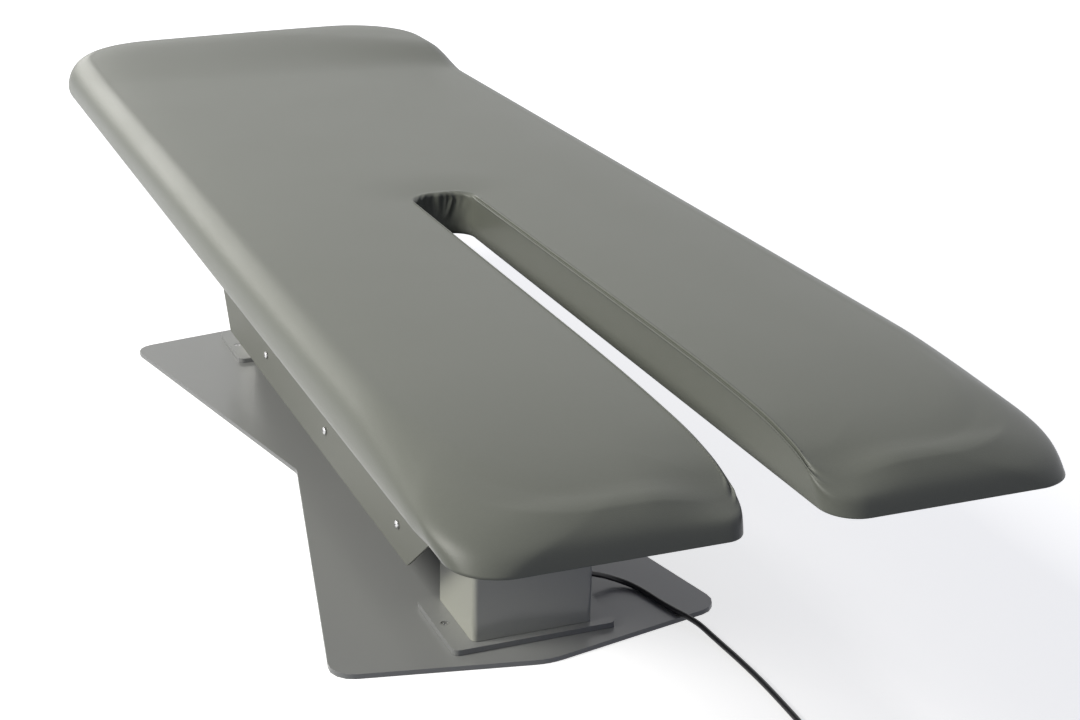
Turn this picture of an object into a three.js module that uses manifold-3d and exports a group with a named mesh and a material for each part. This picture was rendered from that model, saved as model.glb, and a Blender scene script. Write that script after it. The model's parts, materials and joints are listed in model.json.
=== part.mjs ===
// Chiropractic table: a split one-piece cushion on a steel frame, raised by two telescoping columns.
// Millimetres, +Z up. The origin is on the floor under the middle of the cushion,
// +Y runs to the head end and +X to the right. The legs of the cushion point to -Y.
import * as THREE from 'three';
import { mergeVertices } from 'three/addons/utils/BufferGeometryUtils.js';
import Module from 'manifold-3d';

const wasm = await Module();
wasm.setup();

// Fits, overruns and facets
const seatGap = 0.3;
const slideGap = 0.6;
const cutOverrun = 2;
const smallestCorner = 1;
const cornerFacets = 4;
const roundFacets = 24;

// Cushion
const cushionLength = 1944;
const cushionWidth = 617;
const cushionThickness = 55;
const lowestTopHeight = 458;
const slotWidth = 77;
const slotLength = 902;
const slotCornerRadius = 23;
const mouthCornerRadius = 36;
const lowerLegCornerShare = 0.16;
const legCornerShare = 0.26;
const upperLegCornerShare = 0.452;
const legEndLean = 5;
const headCornerRadius = 150;
const shoulderWidth = 40;
const lowerEdgeHeight = 16;
const lowerEdgeInset = 3;
const slotEdgeRadius = 5;
const slotLowerInset = 3;
const legFallLength = 351;
const legFallPower = 2.4;
const crownHeight = 3;
const crownEdgeShare = 0.75;
const crownInsetShare = 0.278;
const innerInsetShare = 0.426;
const slotCrownInsetShare = 0.167;
const slotInnerInsetShare = 0.352;
const headRise = 20.4;
const headRiseLength = 335;
const headRiseRamp = 121;
const headRiseLeftReach = 665;

// Deck board under the cushion
const boardThickness = 12;
const boardInset = 35;
const boardSlotInset = 22;
const boardSlotEndInset = 46;
const boardCornerRadius = 20;

// Base plate and the offset of the base towards the head end
const baseOffset = 153;
const plateEndReach = 62.5;
const plateWidth = 499;
const plateWaist = 261;
const plateTipReach = 51;
const plateThickness = 6.35;
const plateCornerRadius = 30;
const plateTipRadius = 90;
const plateWaistRadius = 30;

// Column feet
const columnSpacing = 1003;
const footWidth = 206;
const footDepth = 135;
const footThickness = 7;
const footCornerRadius = 8;
const footForward = 3;
const footBoltInset = 13;

// Foot bolts
const footBoltDiameter = 6;
const footBoltHeadDiameter = 10;
const footBoltHeadHeight = 4;
const footBoltLength = 8;
const footBoltSocketWidth = 5;
const footBoltSocketDepth = 2;
const footBoltRecess = 0.7;

// Column tubes
const outerTubeWidth = 152.4;
const outerTubeDepth = 118.5;
const tubeCornerRadius = 7;
const tubeWall = 2.5;
const stageClearance = 2.5;
const stageStep = 4;
const stageBottomStep = 8;
const glideHeight = 30;

// Lifting drive inside each column
const gearboxWidth = 112;
const gearboxDepth = 60;
const gearboxHeight = 22;
const gearboxCornerRadius = 10;
const motorDiameter = 58;
const motorHeight = 120;
const motorCapHeight = 14;
const motorCapDiameter = 50;
const motorOffset = 25;
const screwTubeDiameter = 40;
const screwTubeWall = 2.5;
const screwTubeOffset = 31;
const screwTubeHeight = 212;
const screwTubeStep = 10;

// Head plates and bearers
const headPlateThickness = 6;
const headPlateCornerRadius = 4;
const bearerThickness = 8;
const bearerWidth = 80;
const bearerDrop = 40;
const bearerArmRun = 34;
const bearerCornerRadius = 5;
const bearerEndInset = 6;
const middleBearerOffset = 150;

// Rails under the two legs
const railSpacing = 350;
const railWidth = 50;
const railHeight = 40;
const railWall = 3;
const railCornerRadius = 4;
const railNearInset = 150;
const railFarInset = 110;
const railCapThickness = 3;
const railCapPlugLength = 12;

// Side plates, tie bars and their screws
const sidePlateSpacing = 228;
const sidePlateThickness = 3;
const sidePlateLowerHeight = 63;
const sidePlateEndGap = 2;
const nearSlopeShare = 1.235;
const farSlopeShare = 0.66;
const sidePlateCornerRadius = 6;
const sideFlangeWidth = 25;
const tieBarDiameter = 20;
const tieBarCount = 3;
const tieBarPitch = 308;
const firstTieBarInset = 33;
const tieBarRise = 40.5;
const sideScrewDiameter = 5;
const sideScrewLength = 14;
const sideScrewHeadDiameter = 10.5;
const sideScrewHeadHeight = 3.6;
const sideScrewHoleClearance = 0.4;

// Control box on the tie bars
const controlBoxWidth = 140;
const controlBoxHeight = 55;
const controlBoxOverhang = 18;
const controlBoxCornerRadius = 8;

// Cord, its gland and its plug
const cordDiameter = 7;
const cordSides = 8;
const cordStep = 15;
const glandFromRear = 23;
const glandHeadDiameter = 18;
const glandHeadThickness = 4;
const glandLength = 28;
const glandTipDiameter = 9.5;
const glandFootGap = 3;
const glandSleeveShare = 0.36;
const coilTurnsPerLayer = 4;
const coilInnerRadius = 27;
const coilTurnGap = 0.8;
const coilLeadOut = 42;
const coilLoopSteps = 24;
const coilSides = 6;
const coilLeadOutSteps = 3;
const coilQuarterShare = 1 / 4;
const coilEighthShare = 1 / 8;
const coilCentreX = 257;
const coilCentreY = -820;
const plugReliefLength = 22;
const plugReliefDiameter = 10;
const plugBodyLength = 38;
const plugBodyWidth = 27;
const plugCornerRadius = 6;
const plugBladeLength = 16;
const plugBladeWidth = 6.3;
const plugBladeThickness = 1.6;
const plugBladeSpacing = 12.7;
const plugPinDiameter = 4.8;
const plugPinRise = 4.5;
const plugPinDrop = 3;

// Heights that follow from the sizes above, all with the lift down
const halfLength = cushionLength / 2;
const halfWidth = cushionWidth / 2;
const legWidth = (cushionWidth - slotWidth) / 2;
const lowerLegCornerRadius = legWidth * lowerLegCornerShare;
const legCornerRadius = legWidth * legCornerShare;
const upperLegCornerRadius = legWidth * upperLegCornerShare;
const crownInset = legWidth * crownInsetShare;
const innerInset = legWidth * innerInsetShare;
const slotCrownInset = legWidth * slotCrownInsetShare;
const slotInnerInset = legWidth * slotInnerInsetShare;
const cushionBottom = lowestTopHeight - cushionThickness;
const boardBottom = cushionBottom - seatGap - boardThickness;
const railTop = boardBottom - seatGap;
const railBottom = railTop - railHeight;
const bearerTop = railBottom - seatGap;
const bearerFlatBottom = bearerTop - bearerDrop - bearerThickness;
const headPlateTop = bearerFlatBottom - seatGap;
const innerTubeTop = headPlateTop - headPlateThickness - seatGap;
const plateLength = columnSpacing + 2 * plateEndReach;
const footTop = plateThickness + seatGap + footThickness;
const outerTubeBottom = footTop + seatGap;
const nearColumnY = baseOffset - columnSpacing / 2;
const farColumnY = baseOffset + columnSpacing / 2;
const footBoltX = footWidth / 2 - footBoltInset;
const tieBarHeight = sidePlateLowerHeight + tieBarRise;
const sidePlateHalfBottom = (columnSpacing - outerTubeDepth) / 2 - sidePlateEndGap;
const sidePlateHeight = headPlateTop - sidePlateLowerHeight;
const sidePlateNearTop = sidePlateHalfBottom + nearSlopeShare * sidePlateHeight;
const sidePlateFarTop = sidePlateHalfBottom + farSlopeShare * sidePlateHeight;

// Materials
function finish(color, roughness, metalness) {
  return new THREE.MeshStandardMaterial({ color, roughness, metalness });
}
const greyVinyl = finish(0x878980, 0.45, 0);
const plywood = finish(0xb98d5a, 0.7, 0);
const greyPaint = finish(0x8d8f8e, 0.35, 0.4);
const darkPaint = finish(0x5f6061, 0.4, 0.4);
const brightSteel = finish(0xb9bbbd, 0.3, 0.9);
const blackPlastic = finish(0x1d1e20, 0.5, 0);
const whitePlastic = finish(0xe4e2da, 0.5, 0);
const castAluminium = finish(0xa6a8aa, 0.45, 0.8);
const blackRubber = finish(0x19191c, 0.55, 0);

const table = new THREE.Group();

/** Adds one named mesh to the table at a place. */
function add(name, geometry, material, x = 0, y = 0, z = 0) {
  const mesh = new THREE.Mesh(geometry, material.clone());
  mesh.name = name;
  mesh.position.set(x, y, z);
  table.add(mesh);
  return mesh;
}

/** A closed manifold solid of a geometry. */
function solidOf(geometry) {
  const bare = geometry.clone();
  bare.deleteAttribute('normal');
  bare.deleteAttribute('uv');
  const merged = mergeVertices(bare);
  return new wasm.Manifold(new wasm.Mesh({
    numProp: 3,
    vertProperties: new Float32Array(merged.attributes.position.array),
    triVerts: new Uint32Array(merged.index.array),
  }));
}

/** The three.js geometry of a manifold solid. */
function geometryOf(solid) {
  const mesh = solid.getMesh();
  const geometry = new THREE.BufferGeometry();
  geometry.setAttribute('position', new THREE.BufferAttribute(mesh.vertProperties, 3));
  geometry.setIndex(new THREE.BufferAttribute(mesh.triVerts, 1));
  geometry.computeVertexNormals();
  return geometry;
}

/** A geometry with other geometries cut out of it. */
function cut(geometry, ...tools) {
  return geometryOf(tools.reduce((body, tool) => body.subtract(solidOf(tool)), solidOf(geometry)));
}

/** Several geometries joined into one. */
function join(geometry, ...others) {
  return geometryOf(others.reduce((body, other) => body.add(solidOf(other)), solidOf(geometry)));
}

/** A closed outline through corner points, each rounded by its radius. */
function filletedShape(corners) {
  const shape = new THREE.Shape();
  corners.forEach((corner, index) => {
    const before = corners[(index + corners.length - 1) % corners.length];
    const after = corners[(index + 1) % corners.length];
    const point = new THREE.Vector2(corner.x, corner.y);
    const toBefore = new THREE.Vector2(before.x, before.y).sub(point).normalize();
    const toAfter = new THREE.Vector2(after.x, after.y).sub(point).normalize();
    const halfAngle = Math.acos(THREE.MathUtils.clamp(toBefore.dot(toAfter), -1, 1)) / 2;
    const setback = corner.radius / Math.tan(halfAngle);
    const start = point.clone().addScaledVector(toBefore, setback);
    const end = point.clone().addScaledVector(toAfter, setback);
    const bisector = toBefore.clone().add(toAfter).normalize();
    const centre = point.clone().addScaledVector(bisector, corner.radius / Math.sin(halfAngle));
    const clockwise = toBefore.cross(toAfter) > 0;
    if (index === 0) shape.moveTo(start.x, start.y);
    else shape.lineTo(start.x, start.y);
    shape.absarc(centre.x, centre.y, corner.radius,
      Math.atan2(start.y - centre.y, start.x - centre.x),
      Math.atan2(end.y - centre.y, end.x - centre.x), clockwise);
  });
  shape.closePath();
  return shape;
}

/** A centred rectangle with rounded corners. */
function roundedRectangle(width, depth, radius) {
  const used = Math.max(radius, smallestCorner);
  return filletedShape([
    { x: -width / 2, y: -depth / 2, radius: used },
    { x: width / 2, y: -depth / 2, radius: used },
    { x: width / 2, y: depth / 2, radius: used },
    { x: -width / 2, y: depth / 2, radius: used },
  ]);
}

/** A shape raised along +Z from z = 0; an arc gets two facets for each curve segment. */
function raised(shape, height) {
  const curveSegments = cornerFacets / 2;
  return new THREE.ExtrudeGeometry(shape, { depth: height, bevelEnabled: false, curveSegments });
}

/** A rounded rectangular block that stands on z = 0. */
function roundedBlock(width, depth, height, radius) {
  return raised(roundedRectangle(width, depth, radius), height);
}

/** A rounded rectangular tube that stands on z = 0. */
function roundedTube(width, depth, wall, radius, height) {
  const shape = roundedRectangle(width, depth, radius);
  shape.holes.push(roundedRectangle(width - 2 * wall, depth - 2 * wall, radius - wall));
  return raised(shape, height);
}

/** A solid of revolution about Z, from [radius, height] pairs that start and end on the axis. */
function turned(pairs, facets = roundFacets) {
  const points = pairs.map(([radius, height]) => new THREE.Vector2(radius, height));
  return new THREE.LatheGeometry(points, facets).rotateX(Math.PI / 2);
}

/** A cylinder that stands on z = 0. */
function rod(diameter, height, facets = roundFacets) {
  return turned([[0, 0], [diameter / 2, 0], [diameter / 2, height], [0, height]], facets);
}

/** A round tube that stands on z = 0. */
function pipe(diameter, wall, height) {
  const inner = diameter / 2 - wall;
  return turned([[inner, 0], [diameter / 2, 0], [diameter / 2, height], [inner, height], [inner, 0]]);
}

/** Smooth 0 to 1 step. */
function ease(value) {
  return THREE.MathUtils.smoothstep(value, 0, 1);
}

// Cushion: rings of points climb from the underside over the rounded shoulders to the crown.
// Each ring keeps three insets, from the outer sides, from the slot and from the near ends of the legs.
const sideShares = [0, 0.04, 0.09, 0.15, 0.22, 0.3, 0.4, 0.5, 0.6, 0.7, 0.78, 0.84, 0.89, 0.94, 1];
const slotShares = [0, 0.08, 0.17, 0.28, 0.42, 0.6, 0.8, 1];
const headShares = [0, 0.17, 0.34, 0.5, 0.66, 0.83, 1];
const endShares = [0, 0.33, 0.67, 1];
const slotEndShares = [0, 0.5, 1];
const lowerRingShare = 0.3;
const shoulderRings = 4;

/** The same shares counted from the other end. */
function backwards(shares) {
  return shares.map(share => 1 - share).reverse();
}

/** The insets and heights of every ring, from the underside up. */
function cushionLevels() {
  const rise = cushionThickness - lowerEdgeHeight;
  const levels = [
    { outer: lowerEdgeInset, slot: slotLowerInset, end: 0, low: 0, legRadius: lowerLegCornerRadius },
    { outer: lowerEdgeInset * lowerRingShare, slot: slotLowerInset * lowerRingShare,
      end: legEndLean * lowerRingShare, low: lowerEdgeHeight * lowerRingShare,
      legRadius: lowerLegCornerRadius + (legCornerRadius - lowerLegCornerRadius) * lowerRingShare },
    { outer: 0, slot: 0, end: legEndLean, low: lowerEdgeHeight, legRadius: legCornerRadius },
  ];
  for (let ring = 1; ring <= shoulderRings; ring++) {
    const angle = (ring / shoulderRings) * Math.PI / 2;
    levels.push({
      outer: shoulderWidth * (1 - Math.cos(angle)),
      slot: slotEdgeRadius * (1 - Math.cos(angle)),
      end: legEndLean + legFallLength * (1 - Math.cos(angle)),
      legRadius: legCornerRadius + (upperLegCornerRadius - legCornerRadius) * Math.sin(angle),
      outerHeight: lowerEdgeHeight + rise * Math.sin(angle),
      slotHeight: cushionThickness - slotEdgeRadius * (1 - Math.sin(angle)),
      crown: 0,
    });
  }
  [[crownInset, slotCrownInset, crownEdgeShare], [innerInset, slotInnerInset, 1]].forEach(
    ([outer, slot, crownShare]) => levels.push({
      outer,
      slot,
      end: legFallLength + outer - shoulderWidth,
      legRadius: upperLegCornerRadius + shoulderWidth - outer,
      outerHeight: cushionThickness,
      slotHeight: cushionThickness,
      crown: crownHeight * crownShare,
    }));
  return levels;
}

/** Height of a ring point over the underside; kinds are the weights of outer side, slot and leg end. */
function cushionHeight(level, x, y, kinds) {
  if (level.low !== undefined) return level.low;
  const full = kinds.outer * level.outerHeight + kinds.slot * level.slotHeight + kinds.end * cushionThickness;
  const past = THREE.MathUtils.clamp((legFallLength - halfLength - y) / legFallLength, 0, 1);
  const fall = (1 - past ** legFallPower) ** (1 / legFallPower);
  const lift = headRise * ease((y - halfLength + headRiseLength) / headRiseRamp)
    * ease((x + headRiseLeftReach) / (halfWidth + headRiseLeftReach));
  const upperShare = (full - lowerEdgeHeight) / (cushionThickness - lowerEdgeHeight);
  return lowerEdgeHeight + (full - lowerEdgeHeight) * fall + lift * upperShare + level.crown * fall;
}

/** One closed ring of points, counter-clockwise seen from above. */
function cushionRing(level) {
  const points = [];
  const outerX = halfWidth - level.outer;
  const slotX = slotWidth / 2 + level.slot;
  const nearY = -halfLength + level.end;
  const headY = halfLength - level.outer;
  const slotY = -halfLength + slotLength + level.slot;
  const legRadius = level.legRadius;
  const mouthRadius = Math.max(mouthCornerRadius - level.slot, smallestCorner);
  const headRadius = headCornerRadius - level.outer;
  const slotRadius = Math.min(slotCornerRadius + level.slot, slotX - smallestCorner);
  const only = kind => ({ outer: 0, slot: 0, end: 0, [kind]: 1 });

  function put(x, y, kinds) {
    points.push(new THREE.Vector3(x, y, cushionBottom + cushionHeight(level, x, y, kinds)));
  }
  function line(fromX, fromY, toX, toY, shares, kind) {
    shares.slice(1, -1).forEach(share =>
      put(fromX + (toX - fromX) * share, fromY + (toY - fromY) * share, only(kind)));
  }
  function arc(centreX, centreY, radius, startTurn, turnBy, startKind, endKind) {
    for (let step = 0; step <= cornerFacets; step++) {
      const share = step / cornerFacets;
      const angle = (startTurn + turnBy * share) * Math.PI * 2;
      const kinds = { outer: 0, slot: 0, end: 0 };
      kinds[startKind] += 1 - share;
      kinds[endKind] += share;
      put(centreX + radius * Math.cos(angle), centreY + radius * Math.sin(angle), kinds);
    }
  }

  const quarterShare = 1 / 4;
  arc(outerX - legRadius, nearY + legRadius, legRadius, -quarterShare, quarterShare, 'end', 'outer');
  line(outerX, nearY + legRadius, outerX, headY - headRadius, sideShares, 'outer');
  arc(outerX - headRadius, headY - headRadius, headRadius, 0, quarterShare, 'outer', 'outer');
  line(outerX - headRadius, headY, headRadius - outerX, headY, headShares, 'outer');
  arc(headRadius - outerX, headY - headRadius, headRadius, quarterShare, quarterShare, 'outer', 'outer');
  line(-outerX, headY - headRadius, -outerX, nearY + legRadius, backwards(sideShares), 'outer');
  arc(legRadius - outerX, nearY + legRadius, legRadius, 2 * quarterShare, quarterShare, 'outer', 'end');
  line(legRadius - outerX, nearY, -slotX - mouthRadius, nearY, endShares, 'end');
  arc(-slotX - mouthRadius, nearY + mouthRadius, mouthRadius, -quarterShare, quarterShare, 'end', 'slot');
  line(-slotX, nearY + mouthRadius, -slotX, slotY - slotRadius, slotShares, 'slot');
  arc(slotRadius - slotX, slotY - slotRadius, slotRadius, 2 * quarterShare, -quarterShare, 'slot', 'slot');
  line(slotRadius - slotX, slotY, slotX - slotRadius, slotY, slotEndShares, 'slot');
  arc(slotX - slotRadius, slotY - slotRadius, slotRadius, quarterShare, -quarterShare, 'slot', 'slot');
  line(slotX, slotY - slotRadius, slotX, nearY + mouthRadius, backwards(slotShares), 'slot');
  arc(slotX + mouthRadius, nearY + mouthRadius, mouthRadius, 2 * quarterShare, quarterShare, 'slot', 'end');
  line(slotX + mouthRadius, nearY, outerX - legRadius, nearY, endShares, 'end');
  return points;
}

/** A closed surface through rings of equally many points, capped at the first and last ring. */
function loft(rings) {
  const count = rings[0].length;
  const indices = [];
  for (let ring = 0; ring + 1 < rings.length; ring++) {
    for (let index = 0; index < count; index++) {
      const next = (index + 1) % count;
      const a = ring * count + index;
      const b = ring * count + next;
      indices.push(a, b, b + count, a, b + count, a + count);
    }
  }
  const flat = ring => ring.map(point => new THREE.Vector2(point.x, point.y));
  const top = (rings.length - 1) * count;
  THREE.ShapeUtils.triangulateShape(flat(rings[0]), []).forEach(([a, b, c]) => indices.push(a, c, b));
  THREE.ShapeUtils.triangulateShape(flat(rings.at(-1)), []).forEach(([a, b, c]) => {
    indices.push(top + a, top + b, top + c);
  });
  const geometry = new THREE.BufferGeometry().setFromPoints(rings.flat());
  geometry.setIndex(indices);
  geometry.computeVertexNormals();
  return geometry;
}

function makeCushion() {
  add('cushion', loft(cushionLevels().map(cushionRing)), greyVinyl);
}

/** The deck board follows the cushion's outline and its slot, a little inside them. */
function makeDeckBoard() {
  const outerX = halfWidth - boardInset;
  const nearY = -halfLength + boardInset;
  const headY = halfLength - boardInset;
  const slotX = slotWidth / 2 + boardSlotInset;
  const slotY = -halfLength + slotLength + boardSlotEndInset;
  const headRadius = headCornerRadius - boardInset;
  const outline = filletedShape([
    { x: slotX, y: nearY, radius: boardCornerRadius },
    { x: outerX, y: nearY, radius: boardCornerRadius },
    { x: outerX, y: headY, radius: headRadius },
    { x: -outerX, y: headY, radius: headRadius },
    { x: -outerX, y: nearY, radius: boardCornerRadius },
    { x: -slotX, y: nearY, radius: boardCornerRadius },
    { x: -slotX, y: slotY, radius: boardCornerRadius },
    { x: slotX, y: slotY, radius: boardCornerRadius },
  ]);
  add('deck_board', raised(outline, boardThickness), plywood, 0, 0, boardBottom);
}

/** Base plate with the bow-tie outline and a tapped hole for each foot bolt. */
function makeBasePlate() {
  const halfPlate = plateWidth / 2;
  const outline = filletedShape([
    { x: -halfPlate, y: -plateLength / 2, radius: plateCornerRadius },
    { x: 0, y: -plateLength / 2 - plateTipReach, radius: plateTipRadius },
    { x: halfPlate, y: -plateLength / 2, radius: plateCornerRadius },
    { x: plateWaist / 2, y: 0, radius: plateWaistRadius },
    { x: halfPlate, y: plateLength / 2, radius: plateCornerRadius },
    { x: 0, y: plateLength / 2 + plateTipReach, radius: plateTipRadius },
    { x: -halfPlate, y: plateLength / 2, radius: plateCornerRadius },
    { x: -plateWaist / 2, y: 0, radius: plateWaistRadius },
  ]);
  const holes = [];
  for (const end of [-1, 1]) {
    for (const side of [-1, 1]) {
      holes.push(rod(footBoltDiameter + seatGap * 2, plateThickness + 2 * cutOverrun)
        .translate(side * footBoltX, end * (columnSpacing / 2 + footForward), -cutOverrun));
    }
  }
  add('base_plate', cut(raised(outline, plateThickness), ...holes), greyPaint, 0, baseOffset, 0);
}

/** A column's foot: a flat flange with two counterbored holes. */
function makeFoot(name, end, columnY) {
  const seat = footBoltHeadHeight + footBoltRecess;
  const tools = [-1, 1].flatMap(side => [
    rod(footBoltDiameter + seatGap * 2, footThickness + 2 * cutOverrun)
      .translate(side * footBoltX, 0, -cutOverrun),
    rod(footBoltHeadDiameter + seatGap * 2, seat + cutOverrun)
      .translate(side * footBoltX, 0, footThickness - seat),
  ]);
  const foot = cut(roundedBlock(footWidth, footDepth, footThickness, footCornerRadius), ...tools);
  const footY = columnY + end * footForward;
  add(name, foot, greyPaint, 0, footY, plateThickness + seatGap);
  const prefix = name.split('_')[0];
  [['left', -1], ['right', 1]].forEach(([label, side]) => {
    add(`${prefix}_${label}_foot_bolt`, socketBolt(), brightSteel, side * footBoltX, footY,
      footTop - seat + seatGap);
  });
}

/** A socket-head bolt whose head's underside is at z = 0. */
function socketBolt() {
  const head = footBoltHeadDiameter / 2;
  const shank = footBoltDiameter / 2;
  const height = footBoltHeadHeight - seatGap;
  const body = turned([[0, -footBoltLength + seatGap], [shank, -footBoltLength + seatGap], [shank, 0],
    [head, 0], [head, height], [0, height]]);
  const socket = rod(footBoltSocketWidth, footBoltSocketDepth + cutOverrun, 6)
    .translate(0, 0, height - footBoltSocketDepth);
  return cut(body, socket);
}

/** Outside sizes of the three telescoping tubes, from the base outwards in. */
function stageSize(stage) {
  const inwards = stage * (tubeWall + stageClearance);
  return {
    width: outerTubeWidth - 2 * inwards,
    depth: outerTubeDepth - 2 * inwards,
    radius: tubeCornerRadius - inwards,
  };
}

/** One telescoping column: three tubes, two glide collars, a head plate and the drive inside. */
function makeColumn(prefix, columnY, driveSide) {
  ['outer', 'middle', 'inner'].forEach((label, stage) => {
    const size = stageSize(stage);
    const bottom = outerTubeBottom + stage * stageBottomStep;
    const top = innerTubeTop - (2 - stage) * stageStep;
    add(`${prefix}_${label}_tube`, roundedTube(size.width, size.depth, tubeWall, size.radius, top - bottom),
      stage === 0 ? greyPaint : darkPaint, 0, columnY, bottom);
    if (stage === 2) return;
    const inset = tubeWall + seatGap;
    const glide = roundedTube(size.width - 2 * inset, size.depth - 2 * inset,
      stageClearance - 2 * seatGap, size.radius - inset, glideHeight);
    add(`${prefix}_${label}_glide`, glide, whitePlastic, 0, columnY, top - glideHeight);
  });
  const inner = stageSize(2);
  const headPlate = roundedBlock(inner.width, inner.depth, headPlateThickness, headPlateCornerRadius);
  add(`${prefix}_head_plate`, headPlate, darkPaint, 0, columnY, headPlateTop - headPlateThickness);
  makeDrive(prefix, columnY, driveSide);
}

/** Gearbox, motor and the three nested screw tubes that push the column up. */
function makeDrive(prefix, columnY, driveSide) {
  const gearboxTop = footTop + seatGap + gearboxHeight;
  add(`${prefix}_gearbox`, roundedBlock(gearboxWidth, gearboxDepth, gearboxHeight, gearboxCornerRadius),
    castAluminium, 0, columnY, footTop + seatGap);
  const canHeight = motorHeight - motorCapHeight;
  const motor = turned([[0, 0], [motorDiameter / 2, 0], [motorDiameter / 2, canHeight],
    [motorCapDiameter / 2, canHeight], [motorCapDiameter / 2, motorHeight], [0, motorHeight]]);
  add(`${prefix}_motor`, motor, blackPlastic, -driveSide * motorOffset, columnY, gearboxTop + seatGap);

  const screwX = driveSide * screwTubeOffset;
  const middleDiameter = screwTubeDiameter - 2 * (screwTubeWall + slideGap);
  const ramDiameter = middleDiameter - 2 * (screwTubeWall + slideGap);
  const housingBottom = gearboxTop + seatGap;
  const middleBottom = housingBottom + screwTubeStep;
  const ramBottom = middleBottom + screwTubeStep;
  add(`${prefix}_screw_housing`, pipe(screwTubeDiameter, screwTubeWall, screwTubeHeight),
    castAluminium, screwX, columnY, housingBottom);
  add(`${prefix}_middle_screw_tube`, pipe(middleDiameter, screwTubeWall, screwTubeHeight),
    brightSteel, screwX, columnY, middleBottom);
  add(`${prefix}_ram`, rod(ramDiameter, headPlateTop - headPlateThickness - seatGap - ramBottom),
    brightSteel, screwX, columnY, ramBottom);
}

const seatHalf = sidePlateSpacing / 2 + sidePlateThickness + bearerEndInset;

/** A flat plate that ties both side plates to the top of a column. */
function makeSaddlePlate(name, plateY) {
  add(name, roundedBlock(2 * seatHalf, bearerWidth, bearerThickness, bearerCornerRadius), darkPaint,
    0, plateY, bearerFlatBottom);
}

/** A bent strap that carries both rails from a flat seat on the side plates. */
function makeBearer(name, bearerY) {
  const armX = seatHalf + bearerArmRun;
  const endX = railSpacing / 2 + railWidth / 2;
  const flatTop = bearerTop - bearerDrop;
  const outline = filletedShape([
    { x: -seatHalf, y: bearerFlatBottom, radius: bearerCornerRadius },
    { x: seatHalf, y: bearerFlatBottom, radius: bearerCornerRadius },
    { x: armX, y: bearerTop - bearerThickness, radius: bearerCornerRadius },
    { x: endX, y: bearerTop - bearerThickness, radius: smallestCorner },
    { x: endX, y: bearerTop, radius: smallestCorner },
    { x: armX - bearerCornerRadius, y: bearerTop, radius: bearerCornerRadius },
    { x: seatHalf - bearerCornerRadius, y: flatTop, radius: bearerCornerRadius },
    { x: bearerCornerRadius - seatHalf, y: flatTop, radius: bearerCornerRadius },
    { x: bearerCornerRadius - armX, y: bearerTop, radius: bearerCornerRadius },
    { x: -endX, y: bearerTop, radius: smallestCorner },
    { x: -endX, y: bearerTop - bearerThickness, radius: smallestCorner },
    { x: -armX, y: bearerTop - bearerThickness, radius: bearerCornerRadius },
  ]);
  const strap = raised(outline, bearerWidth).rotateX(Math.PI / 2).translate(0, bearerWidth / 2, 0);
  add(name, strap, darkPaint, 0, bearerY, 0);
}

/** A rectangular rail under one leg of the cushion, with a plastic cap in each end. */
function makeRail(label, side) {
  const nearY = -halfLength + railNearInset;
  const farY = halfLength - railFarInset;
  const railX = side * railSpacing / 2;
  const railZ = railBottom + railHeight / 2;
  const rail = roundedTube(railWidth, railHeight, railWall, railCornerRadius, farY - nearY)
    .rotateX(-Math.PI / 2);
  add(`${label}_rail`, rail, darkPaint, railX, nearY, railZ);

  const inset = railWall + seatGap;
  const face = roundedBlock(railWidth, railHeight, railCapThickness, railCornerRadius);
  const plug = roundedBlock(railWidth - 2 * inset, railHeight - 2 * inset, railCapPlugLength + cutOverrun,
    railCornerRadius - inset).translate(0, 0, railCapThickness - cutOverrun);
  const cap = join(face, plug);
  add(`${label}_rail_near_cap`, cap.clone().rotateX(-Math.PI / 2), blackPlastic,
    railX, nearY - railCapThickness - seatGap, railZ);
  add(`${label}_rail_far_cap`, cap.clone().rotateX(Math.PI / 2), blackPlastic,
    railX, farY + railCapThickness + seatGap, railZ);
}

/** The Y places of the tie bars and of the side screws. */
function tieBarPlaces() {
  const first = baseOffset - sidePlateHalfBottom + firstTieBarInset;
  return Array.from({ length: tieBarCount }, (_, index) => first + index * tieBarPitch);
}

/** A side plate: a web with sloping ends and a flange along its top that the bearers sit on. */
function makeSidePlate(label, side) {
  const outline = filletedShape([
    { x: -sidePlateHalfBottom, y: 0, radius: sidePlateCornerRadius },
    { x: sidePlateHalfBottom, y: 0, radius: sidePlateCornerRadius },
    { x: sidePlateFarTop, y: sidePlateHeight, radius: smallestCorner },
    { x: -sidePlateNearTop, y: sidePlateHeight, radius: smallestCorner },
  ]);
  const upright = new THREE.Matrix4().makeBasis(
    new THREE.Vector3(0, 1, 0), new THREE.Vector3(0, 0, 1), new THREE.Vector3(1, 0, 0));
  const web = raised(outline, sidePlateThickness).applyMatrix4(upright)
    .translate(-sidePlateThickness / 2, 0, 0);
  const flangeLength = sidePlateNearTop + sidePlateFarTop - 2 * sidePlateCornerRadius;
  const flange = new THREE.BoxGeometry(sideFlangeWidth, flangeLength, sidePlateThickness)
    .translate(-side * (sideFlangeWidth - sidePlateThickness) / 2, (sidePlateFarTop - sidePlateNearTop) / 2,
      sidePlateHeight - sidePlateThickness / 2);
  const holes = tieBarPlaces().map(place =>
    rod(sideScrewDiameter + sideScrewHoleClearance, sidePlateThickness + 2 * cutOverrun)
      .rotateY(Math.PI / 2)
      .translate(-sidePlateThickness / 2 - cutOverrun, place - baseOffset, tieBarRise));
  add(`${label}_side_plate`, cut(join(web, flange), ...holes), greyPaint,
    side * sidePlateSpacing / 2, baseOffset, sidePlateLowerHeight);
}

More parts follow.
